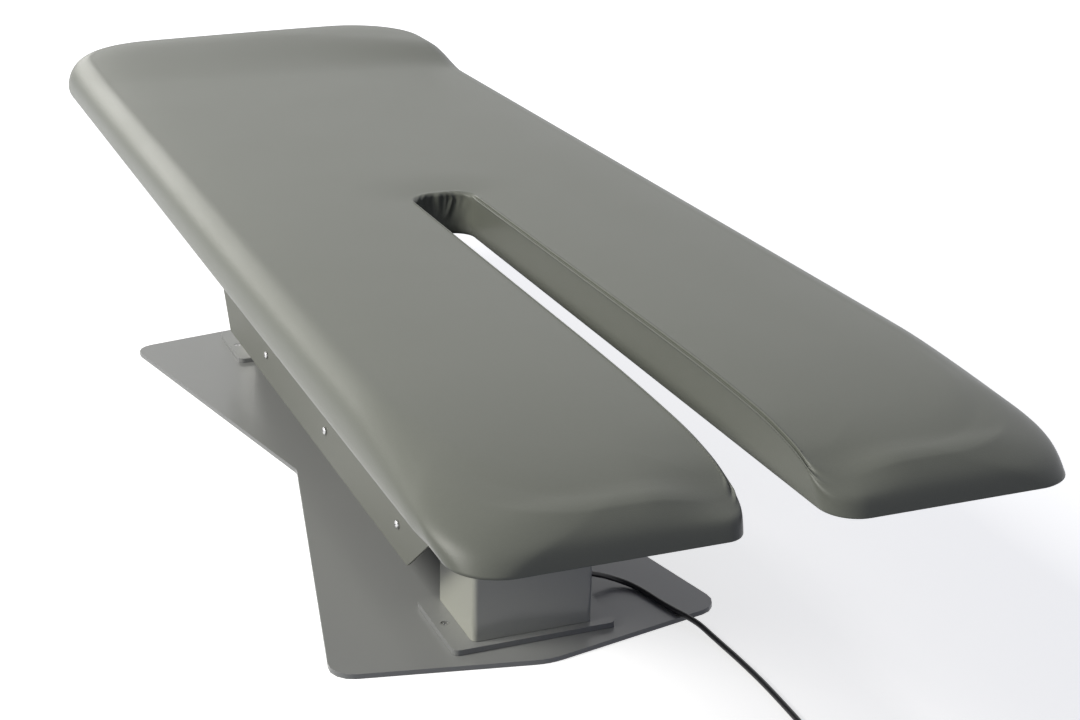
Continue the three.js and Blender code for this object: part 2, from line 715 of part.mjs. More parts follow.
/** A round tie bar between the side plates, tapped at both ends. */
function makeTieBar(name, place) {
  const half = (sidePlateSpacing - sidePlateThickness) / 2 - seatGap;
  const radius = tieBarDiameter / 2;
  const bore = (sideScrewDiameter + sideScrewHoleClearance) / 2;
  const depth = sideScrewLength;
  const bar = turned([[0, depth - half], [bore, depth - half], [bore, -half], [radius, -half],
    [radius, half], [bore, half], [bore, half - depth], [0, half - depth]]);
  add(name, bar.rotateY(Math.PI / 2), brightSteel, 0, place, tieBarHeight);
}

/** A pan-head screw through a side plate into a tie bar. */
function makeSideScrew(name, side, place) {
  const head = sideScrewHeadDiameter / 2;
  const shank = sideScrewDiameter / 2;
  const half = sideScrewHeadHeight / 2;
  const screw = turned([[0, -sideScrewLength], [shank, -sideScrewLength], [shank, 0], [head, 0],
    [head, half], [(head + shank) / 2, sideScrewHeadHeight], [0, sideScrewHeadHeight]]);
  add(name, screw.rotateY(side * Math.PI / 2), brightSteel,
    side * (sidePlateSpacing / 2 + sidePlateThickness / 2 + seatGap), place, tieBarHeight);
}

/** Side plates with their tie bars and screws. */
function makeSides() {
  const ordinals = ['near', 'middle', 'far'];
  [['left', -1], ['right', 1]].forEach(([label, side]) => {
    makeSidePlate(label, side);
    tieBarPlaces().forEach((place, index) => {
      makeSideScrew(`${label}_${ordinals[index]}_side_screw`, side, place);
    });
  });
  tieBarPlaces().forEach((place, index) => makeTieBar(`${ordinals[index]}_tie_bar`, place));
}

/** The lift's control box lies on the first two tie bars. */
function makeControlBox() {
  const [first, second] = tieBarPlaces();
  const length = second - first + 2 * controlBoxOverhang;
  add('control_box', roundedBlock(controlBoxWidth, length, controlBoxHeight, controlBoxCornerRadius),
    blackPlastic, 0, (first + second) / 2, tieBarHeight + tieBarDiameter / 2 + seatGap);
}

// Cord: gland on the near column, a free stretch over the plate and floor, a coil and a plug.
const glandX = outerTubeWidth / 2 + seatGap;
const glandY = nearColumnY + outerTubeDepth / 2 - glandFromRear;
const glandZ = footTop + glandHeadDiameter / 2 + glandFootGap;
const cordExitX = glandX + glandLength + seatGap;
const coilPitch = cordDiameter + coilTurnGap;
const coilOuterRadius = coilInnerRadius + coilPitch * coilTurnsPerLayer - coilPitch * coilEighthShare;
const onPlate = plateThickness + cordDiameter / 2;
const onFloor = cordDiameter / 2;
const plugAxisHeight = onFloor + coilPitch;

/** The strain relief: a round head against the tube and a tapered sleeve. */
function makeGland() {
  const sleeve = glandHeadDiameter * glandSleeveShare;
  const gland = turned([[0, 0], [glandHeadDiameter / 2, 0], [glandHeadDiameter / 2, glandHeadThickness],
    [sleeve, glandHeadThickness], [glandTipDiameter / 2, glandLength], [0, glandLength]]);
  add('cord_gland', gland.rotateY(Math.PI / 2), blackPlastic, glandX, glandY, glandZ);
}

/** Route of the free stretch, from the gland to the start of the coil. */
function cordRoute() {
  const coilStartX = coilCentreX - coilOuterRadius;
  const coilStartY = coilCentreY + cordDiameter + seatGap;
  return [
    [cordExitX, glandY, glandZ],
    [cordExitX + cordDiameter, glandY, glandZ - 0.5],
    [122.6, -313.2, 22.2],
    [134, -314.4, 18.4],
    [145.3, -318.8, 14.7],
    [156.6, -327.8, 11.8],
    [165, -341, 10.3],
    [171.5, -361.2, onPlate + 0.1],
    [178, -388.6, onPlate],
    [184, -410, onPlate],
    [190.2, -428, onPlate],
    [197.4, -450, 8.2],
    [202, -474.6, 5],
    [204.5, -500, onFloor + 0.2],
    [206.5, -535, onFloor],
    [207.5, -590, onFloor],
    [205.5, -655, onFloor],
    [coilStartX + 2.5, -716, onFloor],
    [coilStartX, -768, onFloor],
    [coilStartX, coilStartY + 2 * cordDiameter, onFloor],
    [coilStartX, coilStartY, onFloor],
  ].map(([x, y, z]) => new THREE.Vector3(x, y, z));
}

/** The cross-section of the cord as a shape. */
function cordSection(sides) {
  const points = Array.from({ length: sides }, (_, index) => {
    const angle = (index / sides) * Math.PI * 2;
    return new THREE.Vector2(Math.cos(angle), Math.sin(angle)).multiplyScalar(cordDiameter / 2);
  });
  return new THREE.Shape(points);
}

/** Points of the coil: in on the floor, up one layer at the middle and out again on top. */
function coilPoints() {
  const turns = 2 * coilTurnsPerLayer;
  const startX = coilCentreX - coilOuterRadius;
  const points = [new THREE.Vector3(startX, coilCentreY + cordDiameter, onFloor)];
  for (let step = 0; step <= turns * coilLoopSteps; step++) {
    const turn = step / coilLoopSteps;
    const fromMiddle = Math.abs(turn - coilTurnsPerLayer);
    const radius = fromMiddle > coilQuarterShare
      ? coilInnerRadius + coilPitch * (fromMiddle - coilEighthShare)
      : coilInnerRadius + coilPitch * 2 * fromMiddle * fromMiddle;
    const angle = Math.PI + turn * Math.PI * 2;
    const climb = ease((turn - coilTurnsPerLayer) * 2 + 1 / 2);
    points.push(new THREE.Vector3(coilCentreX + radius * Math.cos(angle),
      coilCentreY + radius * Math.sin(angle), onFloor + coilPitch * climb));
  }
  const last = points.at(-1);
  for (let step = 1; step <= coilLeadOutSteps; step++) {
    points.push(new THREE.Vector3(last.x, last.y - coilLeadOut * step / coilLeadOutSteps, last.z));
  }
  return points;
}

/** The least distance between the coil's surface and itself, measured on its points. */
function leastCoilGap(points) {
  let least = Infinity;
  const apart = coilLoopSteps / 2;
  for (let first = 0; first < points.length; first++) {
    for (let second = first + apart; second < points.length; second++) {
      const start = points[second];
      const end = points[Math.min(second + 1, points.length - 1)];
      const point = points[first];
      const nearest = new THREE.Line3(start, end).closestPointToPoint(point, true, new THREE.Vector3());
      least = Math.min(least, nearest.distanceTo(point));
    }
  }
  return least - cordDiameter;
}

/** A cord tube along a curve. */
function cordTube(curve, sides, steps) {
  return new THREE.ExtrudeGeometry(cordSection(sides), { steps, bevelEnabled: false, extrudePath: curve });
}

/** Moulded plug with two flat blades and an earth pin, its axis along -Y. */
function makePlug(endX, endY) {
  const relief = turned([[0, 0], [cordDiameter / 2 + seatGap, 0], [plugReliefDiameter / 2, plugReliefLength],
    [plugReliefDiameter / 2, plugReliefLength + cutOverrun], [0, plugReliefLength + cutOverrun]]);
  const body = roundedBlock(plugBodyWidth, 2 * plugAxisHeight, plugBodyLength, plugCornerRadius)
    .translate(0, 0, plugReliefLength);
  const bladeStart = plugReliefLength + plugBodyLength - cutOverrun;
  const bladeLength = plugBladeLength + cutOverrun;
  const blades = [-1, 1].map(side => new THREE.BoxGeometry(plugBladeThickness, plugBladeWidth, bladeLength)
    .translate(side * plugBladeSpacing / 2, -plugPinDrop, bladeStart + bladeLength / 2));
  const pin = rod(plugPinDiameter, bladeLength, cornerFacets * 3).translate(0, plugPinRise, bladeStart);
  const plug = join(relief, body, ...blades, pin).rotateX(Math.PI / 2);
  add('cord_plug', plug, blackPlastic, endX, endY - seatGap, plugAxisHeight);
}

function makeCord() {
  makeGland();
  const stretch = new THREE.CatmullRomCurve3(cordRoute(), false, 'centripetal');
  add('cord_stretch', cordTube(stretch, cordSides, Math.round(stretch.getLength() / cordStep)), blackRubber);
  const points = coilPoints();
  const coil = new THREE.CatmullRomCurve3(points, false, 'centripetal');
  coil.arcLengthDivisions = points.length * cornerFacets;
  add('cord_coil', cordTube(coil, coilSides, points.length - 1), blackRubber);
  const last = points.at(-1);
  makePlug(last.x, last.y);
  console.log(`cord: stretch ${stretch.getLength().toFixed(1)} mm, coil ${coil.getLength().toFixed(1)} mm,`,
    `least gap of the coil to itself ${leastCoilGap(points).toFixed(2)} mm`);
}

makeBasePlate();
makeFoot('near_foot', -1, nearColumnY);
makeFoot('far_foot', 1, farColumnY);
makeColumn('near', nearColumnY, -1);
makeColumn('far', farColumnY, 1);
makeSaddlePlate('near_saddle_plate', nearColumnY);
makeBearer('middle_bearer', baseOffset + middleBearerOffset);
makeBearer('far_bearer', farColumnY);
makeRail('left', -1);
makeRail('right', 1);
makeSides();
makeControlBox();
makeDeckBoard();
makeCushion();
makeCord();

export default table;
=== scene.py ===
"""Looks of a chiropractic table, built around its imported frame, in metres."""

import json
import logging
import math
from collections.abc import Iterable, Sequence
from dataclasses import dataclass, field
from enum import Enum
from typing import Any

import bmesh
import bpy
from mathutils import Matrix, Vector, geometry


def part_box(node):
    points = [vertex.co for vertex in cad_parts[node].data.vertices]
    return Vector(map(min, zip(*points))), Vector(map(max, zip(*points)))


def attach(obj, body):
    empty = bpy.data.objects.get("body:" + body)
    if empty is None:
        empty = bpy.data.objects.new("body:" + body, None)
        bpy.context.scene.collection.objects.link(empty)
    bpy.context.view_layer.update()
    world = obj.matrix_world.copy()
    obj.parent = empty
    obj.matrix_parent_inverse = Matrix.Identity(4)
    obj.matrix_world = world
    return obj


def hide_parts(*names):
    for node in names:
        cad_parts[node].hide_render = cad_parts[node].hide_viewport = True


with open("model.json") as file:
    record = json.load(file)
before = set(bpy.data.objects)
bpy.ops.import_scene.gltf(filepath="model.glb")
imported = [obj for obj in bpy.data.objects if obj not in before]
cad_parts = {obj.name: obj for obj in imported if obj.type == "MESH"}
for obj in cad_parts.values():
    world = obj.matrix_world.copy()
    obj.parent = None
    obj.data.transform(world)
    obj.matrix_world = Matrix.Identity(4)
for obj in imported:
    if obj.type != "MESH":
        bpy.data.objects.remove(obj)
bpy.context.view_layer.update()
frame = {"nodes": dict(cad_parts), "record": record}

log = logging.getLogger("table")
MILLIMETRE = 0.001
NO_SEAM = 1.0
Point = tuple[float, float, float]
Colour = tuple[float, float, float]
WHITE: Colour = (1.0, 1.0, 1.0)


def ease(value: float) -> float:
    """A smooth step of a value from 0 to 1."""
    share = min(1.0, max(0.0, value))
    return share * share * (3 - 2 * share)


def hump(distance: float, width: float) -> float:
    """A smooth bump that is 1 at no distance and dies away over a width."""
    return math.exp(-((distance / width) ** 2))


class Ink:
    """A socket of a material's node tree that takes part in Python sums."""

    def __init__(self, brush: "Brush", socket: bpy.types.NodeSocket) -> None:
        """Keeps the brush that made the socket, to add more nodes with it."""
        self.brush = brush
        self.socket = socket

    def _maths(self, operation: str, other: Any) -> "Ink":
        """Adds one Math node to this value.

        Args:
            operation: the Math node's operation.
            other: a number or an Ink.

        Returns:
            The node's value.
        """
        return self.brush.node("ShaderNodeMath", {"operation": operation}, {0: self, 1: other})

    def __add__(self, other: Any) -> "Ink":
        """self + other."""
        return self._maths("ADD", other)

    def __mul__(self, other: Any) -> "Ink":
        """self * other."""
        return self._maths("MULTIPLY", other)

    def most(self, other: Any) -> "Ink":
        """The greater of this and another value."""
        return self._maths("MAXIMUM", other)


class Brush:
    """Adds nodes to one node tree."""

    def __init__(self, tree: bpy.types.NodeTree) -> None:
        """Starts from an empty tree."""
        self.tree = tree
        tree.nodes.clear()

    def node(self, kind: str, settings: dict[str, Any], sockets: dict[Any, Any], output: Any = 0) -> Ink:
        """Adds one node.

        Args:
            kind: the node's type.
            settings: attributes that are set first.
            sockets: values or Inks by input name or number.
            output: name or number of the output that is returned.

        Returns:
            That output as an Ink.
        """
        made = self.tree.nodes.new(kind)
        for name, value in settings.items():
            setattr(made, name, value)
        for name, value in sockets.items():
            if isinstance(value, Ink):
                self.tree.links.new(value.socket, made.inputs[name])
            else:
                made.inputs[name].default_value = value
        return Ink(self, made.outputs[output] if len(made.outputs) else None)

    def place(self) -> Ink:
        """The Object coordinates, in metres."""
        return self.node("ShaderNodeTexCoord", {}, {}, "Object")

    def stretched(self, where: Ink, scale: Point) -> Ink:
        """Coordinates stretched along each axis."""
        return self.node("ShaderNodeMapping", {}, {"Vector": where, "Scale": scale})

    def cloud(self, where: Ink, scale: float, detail: float = 2.0, roughness: float = 0.5) -> Ink:
        """Soft noise.

        Args:
            where: the coordinates.
            scale: how fine the noise is.
            detail: how many finer layers it has.
            roughness: how strong the finer layers are.

        Returns:
            A value from 0 to 1.
        """
        return self.node("ShaderNodeTexNoise", {},
                         {"Vector": where, "Scale": scale, "Detail": detail, "Roughness": roughness})

    def cells(self, where: Ink, scale: float, feature: str = "F1") -> Ink:
        """A Voronoi pattern.

        Args:
            where: the coordinates.
            scale: how fine the cells are.
            feature: which distance is measured.

        Returns:
            The distance inside the cells.
        """
        return self.node("ShaderNodeTexVoronoi", {"feature": feature}, {"Vector": where, "Scale": scale})

    def marks(self, value: Ink, start: float, stop: float) -> Ink:
        """A mask that climbs smoothly.

        Args:
            value: what it depends on.
            start: the value where it is 0.
            stop: the value where it is 1.

        Returns:
            The mask, from 0 to 1.
        """
        return self.node("ShaderNodeMapRange", {"interpolation_type": "SMOOTHSTEP"},
                         {"Value": value, "From Min": start, "From Max": stop})

    def blend(self, share: Any, first: Any, second: Any) -> Ink:
        """A colour between two colours.

        Args:
            share: 0 for the first, 1 for the second.
            first: a colour with alpha, or an Ink.
            second: a colour with alpha, or an Ink.

        Returns:
            The colour.
        """
        return self.node("ShaderNodeMix", {"data_type": "RGBA"}, {0: share, 6: first, 7: second}, 2)

    def relief(self, height: Ink, distance: float) -> Ink:
        """A bumped normal from a height that counts for a distance in metres."""
        return self.node("ShaderNodeBump", {}, {"Height": height, "Distance": distance})


def solid(colour: Colour) -> tuple[float, float, float, float]:
    """A colour with full alpha."""
    return (*colour, 1.0)


def shaded(colour: Colour, factor: float) -> tuple[float, float, float, float]:
    """A colour made lighter or darker by a factor, with full alpha."""
    return (colour[0] * factor, colour[1] * factor, colour[2] * factor, 1.0)


@dataclass(frozen=True)
class Finish:
    """A surface finish. The subclasses say what changes over the surface."""

    name: str
    colour: Colour
    roughness: float
    metallic: float = 0.0
    specular: float = 0.5
    tones: tuple[float, float] = (1.0, 1.0)
    gloss_span: float = 0.0

    def toned(self, brush: Brush, share: Ink) -> Ink:
        """The colour between the darker and the lighter tone, by a share from 0 to 1."""
        dark, light = self.tones
        return brush.blend(share, shaded(self.colour, dark), shaded(self.colour, light))

    def gloss(self, share: Ink) -> Ink:
        """The roughness, spread evenly round the finish's own by a share from 0 to 1."""
        return share * self.gloss_span + (self.roughness - self.gloss_span / 2)

    def surface(self, brush: Brush) -> dict[str, Any]:
        """The sockets of the shader that change over the surface."""
        raise NotImplementedError

    def material(self) -> bpy.types.Material:
        """Makes the material once and returns it.

        Returns:
            The material.
        """
        known = bpy.data.materials.get(self.name)
        if known:
            return known
        made = bpy.data.materials.new(self.name)
        made.use_nodes = True
        made.diffuse_color = solid(self.colour)
        brush = Brush(made.node_tree)
        sockets = {
            "Base Color": solid(self.colour),
            "Roughness": self.roughness,
            "Metallic": self.metallic,
            "Specular IOR Level": self.specular,
        }
        sockets.update(self.surface(brush))
        shader = brush.node("ShaderNodeBsdfPrincipled", {}, sockets)
        brush.node("ShaderNodeOutputMaterial", {}, {"Surface": shader})
        return made


@dataclass(frozen=True)
class Vinyl(Finish):
    """Satin upholstery vinyl with a fine pebble grain."""

    tones: tuple[float, float] = (0.92, 1.08)
    gloss_span: float = 0.07
    grain_scale: float = 900.0
    grain_depth: float = 0.00009

    def surface(self, brush: Brush) -> dict[str, Any]:
        """Fine grain, and faint patches of tone and of gloss.

        Args:
            brush: the brush of the material's tree.

        Returns:
            The shader's sockets that change over the surface.
        """
        where = brush.place()
        patches = brush.cloud(where, 2.4, 3.0)
        mottle = brush.cloud(where, 260.0, 2.0)
        pebble = brush.cells(where, self.grain_scale, "SMOOTH_F1")
        pores = brush.cloud(where, self.grain_scale * 2.2, 2.0)
        return {
            "Base Color": self.toned(brush, patches * 0.55 + mottle * 0.3 + pebble * 0.2),
            "Roughness": self.gloss(brush.cloud(where, 5.0, 3.0)),
            "Normal": brush.relief(pebble * 0.8 + pores * 0.35, self.grain_depth),
        }


@dataclass(frozen=True)
class Paint(Finish):
    """Sprayed paint on steel, with a little orange peel, fine flecks and light scuffs."""

    tones: tuple[float, float] = (0.95, 1.05)
    gloss_span: float = 0.1
    peel_scale: float = 420.0
    peel_depth: float = 0.00003
    scuff: float = 0.12
    scuff_tone: float = 1.5

    def surface(self, brush: Brush) -> dict[str, Any]:
        """Flecks and dust in the colour, wiped patches and scuffs in the gloss, orange peel in relief.

        Args:
            brush: the brush of the material's tree.

        Returns:
            The shader's sockets that change over the surface.
        """
        where = brush.place()
        flecks = brush.cloud(where, 1800.0, 1.0)
        dust = brush.cloud(where, 7.0, 4.0)
        scratches = brush.cloud(brush.stretched(where, (14.0, 190.0, 60.0)), 1.0, 4.0, 0.7)
        worn = brush.marks(scratches, 0.62, 0.74) * brush.marks(brush.cloud(where, 5.0, 2.0), 0.45, 0.7)
        colour = self.toned(brush, flecks * 0.6 + dust * 0.4)
        return {
            "Base Color": brush.blend(worn * 0.25, colour, shaded(self.colour, self.scuff_tone)),
            "Roughness": self.gloss(brush.cloud(where, 4.0, 3.0)) + worn * self.scuff,
            "Normal": brush.relief(brush.cloud(where, self.peel_scale, 1.0), self.peel_depth),
        }


@dataclass(frozen=True)
class Metal(Finish):
    """Bare or plated metal with fine lines along one axis."""

    tones: tuple[float, float] = (0.88, 1.05)
    gloss_span: float = 0.16
    lines: Point = (400.0, 400.0, 30.0)
    depth: float = 0.00002

    def surface(self, brush: Brush) -> dict[str, Any]:
        """Fine lines in the gloss and the relief.

        Args:
            brush: the brush of the material's tree.

        Returns:
            The shader's sockets that change over the surface.
        """
        where = brush.place()
        drawn = brush.cloud(brush.stretched(where, self.lines), 1.0, 3.0)
        return {
            "Base Color": self.toned(brush, brush.cloud(where, 40.0, 2.0)),
            "Roughness": self.gloss(drawn),
            "Normal": brush.relief(drawn, self.depth),
        }


@dataclass(frozen=True)
class Moulded(Finish):
    """Moulded plastic or rubber with a fine matt grain."""

    tones: tuple[float, float] = (0.85, 1.25)
    gloss_span: float = 0.16
    grain_scale: float = 1600.0
    grain_depth: float = 0.00003

    def surface(self, brush: Brush) -> dict[str, Any]:
        """Matt grain and faint scuffs.

        Args:
            brush: the brush of the material's tree.

        Returns:
            The shader's sockets that change over the surface.
        """
        where = brush.place()
        scuffs = brush.cloud(where, 25.0, 4.0)
        return {
            "Base Color": self.toned(brush, scuffs),
            "Roughness": self.gloss(scuffs),
            "Normal": brush.relief(brush.cells(where, self.grain_scale), self.grain_depth),
        }


@dataclass(frozen=True)
class Plywood(Finish):
    """Birch plywood: long grain on its faces and plies on its edges."""

    tones: tuple[float, float] = (0.8, 1.15)
    ply_tones: tuple[float, float] = (0.55, 1.1)
    gloss_span: float = 0.2
    grain_depth: float = 0.00008
    plies: int = 9
    board_thickness: float = 0.012

    def surface(self, brush: Brush) -> dict[str, Any]:
        """Grain on the flat faces, thin plies where the face is upright.

        Args:
            brush: the brush of the material's tree.

        Returns:
            The shader's sockets that change over the surface.
        """
        where = brush.place()
        grain = brush.cloud(brush.stretched(where, (60.0, 4.0, 60.0)), 1.0, 5.0, 0.6)
        figure = brush.cloud(brush.stretched(where, (9.0, 1.2, 9.0)), 1.0, 3.0)
        face = self.toned(brush, grain * 0.6 + figure * 0.4)
        upright = brush.node("ShaderNodeSeparateXYZ", {}, {0: where}, "Z")
        bands = brush.node("ShaderNodeMath", {"operation": "SINE"},
                           {0: upright * (math.pi * self.plies / self.board_thickness)})
        dark, light = (shaded(self.colour, tone) for tone in self.ply_tones)
        ply = brush.blend(bands * 0.5 + 0.5, dark, light)
        normal = brush.node("ShaderNodeNewGeometry", {}, {}, "Normal")
        level = brush.node("ShaderNodeSeparateXYZ", {}, {0: normal}, "Z")
        flat = brush.node("ShaderNodeMath", {"operation": "ABSOLUTE"}, {0: level})
        return {
            "Base Color": brush.blend(flat, ply, face),
            "Roughness": self.gloss(grain),
            "Normal": brush.relief(grain, self.grain_depth),
        }


class Surface(Enum):
    """The finishes of the table."""

    VINYL = Vinyl("grey_vinyl", (0.151, 0.158, 0.131), 0.36, specular=0.26)
    PLYWOOD = Plywood("sealed_plywood", (0.42, 0.29, 0.16), 0.6)
    PLATE_PAINT = Paint("plate_gloss_paint", (0.265, 0.27, 0.262), 0.3)
    COLUMN_PAINT = Paint("column_gloss_paint", (0.48, 0.485, 0.415), 0.22)
    PANEL_PAINT = Paint("panel_satin_paint", (0.2, 0.205, 0.178), 0.5, specular=0.1)
    FRAME_PAINT = Paint("frame_satin_paint", (0.1, 0.1, 0.105), 0.4)
    BRIGHT_STEEL = Metal("bright_zinc", (0.62, 0.62, 0.63), 0.3, metallic=1.0)
    CAST_ALUMINIUM = Metal("cast_aluminium", (0.5, 0.5, 0.52), 0.45, metallic=1.0,
                           lines=(500.0, 500.0, 500.0), depth=0.0001)
    BLACK_PLASTIC = Moulded("black_plastic", (0.022, 0.022, 0.024), 0.45)
    GLIDE_PLASTIC = Moulded("acetal_glide", (0.72, 0.7, 0.64), 0.4)
    CORD_RUBBER = Moulded("cord_sheath", (0.016, 0.016, 0.019), 0.42)
    THREAD = Moulded("seam_thread", (0.075, 0.078, 0.07), 0.6)
    BRASS = Metal("plated_blade", (0.72, 0.66, 0.5), 0.25, metallic=1.0, lines=(400.0, 30.0, 400.0))


def dress(piece: bpy.types.Object, surface: Surface) -> None:
    """Gives a piece one finish."""
    piece.data.materials.clear()
    piece.data.materials.append(surface.value.material())


def select_only(piece: bpy.types.Object) -> None:
    """Selects one object and makes it the active one.

    Args:
        piece: the object.
    """
    if bpy.context.object and bpy.context.object.mode != "OBJECT":
        bpy.ops.object.mode_set(mode="OBJECT")
    bpy.ops.object.select_all(action="DESELECT")
    piece.select_set(True)
    bpy.context.view_layer.objects.active = piece


def settle(piece: bpy.types.Object) -> bpy.types.Object:
    """Puts a piece's place, turn and scale into its mesh.

    Args:
        piece: the object.

    Returns:
        The same object.
    """
    select_only(piece)
    bpy.ops.object.transform_apply(location=True, rotation=True, scale=True)
    return piece


def new_mesh_object(name: str, mesh: bpy.types.Mesh) -> bpy.types.Object:
    """Links a new object for a mesh.

    Args:
        name: the object's name.
        mesh: its mesh.

    Returns:
        The object.
    """
    piece = bpy.data.objects.new(name, mesh)
    bpy.context.scene.collection.objects.link(piece)
    return piece


def modify(piece: bpy.types.Object, kind: str, **settings: Any) -> None:
    """Adds one modifier to a piece and applies it.

    Args:
        piece: the object.
        kind: the modifier's type.
        settings: its attributes.
    """
    select_only(piece)
    modifier = piece.modifiers.new(kind.lower(), kind)
    for name, value in settings.items():
        setattr(modifier, name, value)
    bpy.ops.object.modifier_apply(modifier=modifier.name)


def smooth(piece: bpy.types.Object, angle: float = 32.0) -> None:
    """Shades a piece smooth, apart from its edges over an angle in degrees, with flat faces kept flat.

    Args:
        piece: the object.
        angle: the least angle of an edge that stays sharp.
    """
    select_only(piece)
    bpy.ops.object.shade_smooth_by_angle(angle=math.radians(angle))
    modify(piece, "WEIGHTED_NORMAL", keep_sharp=True)


def drawn_out(name: str, profile: Sequence[tuple[float, float]], sides: int) -> bpy.types.Object:
    """A turned piece, drawn out of a disc along +Z.

    Args:
        name: the new object's name.
        profile: (radius, height) pairs from the first disc up.
        sides: how many sides the disc has.

    Returns:
        The piece, standing at the origin.
    """
    bpy.ops.object.select_all(action="DESELECT")
    radius, height = profile[0]
    bpy.ops.mesh.primitive_circle_add(vertices=sides, radius=radius, fill_type="NGON",
                                      location=(0, 0, height))
    piece = bpy.context.object
    piece.name = name
    settle(piece)
    bpy.ops.object.mode_set(mode="EDIT")
    bpy.ops.mesh.select_all(action="SELECT")
    for next_radius, next_height in profile[1:]:
        bpy.ops.mesh.extrude_region_move(TRANSFORM_OT_translate={"value": (0, 0, next_height - height)})
        growth = next_radius / radius
        bpy.ops.transform.resize(value=(growth, growth, 1.0), center_override=(0, 0, next_height))
        radius, height = next_radius, next_height
    bpy.ops.mesh.select_all(action="SELECT")
    bpy.ops.mesh.normals_make_consistent(inside=False)
    bpy.ops.object.mode_set(mode="OBJECT")
    return piece


def turned_to(piece: bpy.types.Object, turn: Matrix, place: Sequence[float]) -> bpy.types.Object:
    """Turns a piece about the origin, moves it and settles it.

    Args:
        piece: the object.
        turn: its turn.
        place: where the origin goes.

    Returns:
        The piece.
    """
    piece.matrix_world = Matrix.Translation(Vector(place)) @ turn.to_4x4()
    return settle(piece)


def copy_of(piece: bpy.types.Object, name: str, turn: Matrix, place: Sequence[float]) -> bpy.types.Object:
    """A copy of a piece with its own mesh.

    Args:
        piece: the pattern.
        name: the copy's name.
        turn: the copy's turn.
        place: where the copy's origin goes.

    Returns:
        The copy, settled in its place.
    """
    return turned_to(new_mesh_object(name, piece.data.copy()), turn, place)


def block(name: str, size: Sequence[float], place: Sequence[float], turn: float = 0.0) -> bpy.types.Object:
    """A plain block.

    Args:
        name: the new object's name.
        size: its width, depth and height.
        place: its middle.
        turn: its turn about the vertical, in radians.

    Returns:
        The settled block.
    """
    bpy.ops.object.select_all(action="DESELECT")
    bpy.ops.mesh.primitive_cube_add(size=1.0, location=place, rotation=(0, 0, turn))
    made = bpy.context.object
    made.name = name
    made.scale = size
    return settle(made)


def box_of(node: str) -> tuple[Vector, Vector, Vector]:
    """The low corner, the high corner and the middle of a node's box."""
    low, high = (Vector(corner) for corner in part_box(node))
    return low, high, Vector(((low.x + high.x) / 2, (low.y + high.y) / 2, (low.z + high.z) / 2))


def discard(piece: bpy.types.Object) -> None:
    """Takes a pattern piece out of the scene."""
    bpy.data.objects.remove(piece, do_unlink=True)


@dataclass
class Node:
    """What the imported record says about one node."""

    name: str

    def slot(self) -> str:
        """The node's material slot."""
        subparts = frame["record"]["subparts"]
        return next(part["material_slot"] for part in subparts if part["node"] == self.name)

    def body(self) -> str:
        """The body that the node rides on."""
        bodies = frame["record"]["behaviour"]["bodies"]
        return next(body for body, nodes in bodies.items() if self.name in nodes)

    def stand_in(self, piece: bpy.types.Object, surface: Surface, replaces: bool = True) -> None:
        """Lets a finished piece ride with this node and take its place.

        Args:
            piece: the finished piece.
            surface: its finish.
            replaces: whether it hides the node, or only rides with it.
        """
        dress(piece, surface)
        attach(piece, self.body())
        self.slot()
        if replaces:
            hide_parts(self.name)


@dataclass(frozen=True)
class Lamp:
    """A soft rectangular lamp."""

    name: str
    place: Point
    aim: Point
    size: tuple[float, float]
    power: float
    colour: Colour = WHITE

    def build(self) -> None:
        """Adds the lamp."""
        light = bpy.data.lights.new(self.name, "AREA")
        light.shape = "RECTANGLE"
        light.size, light.size_y = self.size
        light.energy = self.power
        light.color = self.colour
        lamp = bpy.data.objects.new(self.name, light)
        bpy.context.scene.collection.objects.link(lamp)
        lamp.location = self.place
        towards = Vector(self.aim) - Vector(self.place)
        lamp.rotation_euler = towards.to_track_quat("-Z", "Y").to_euler()


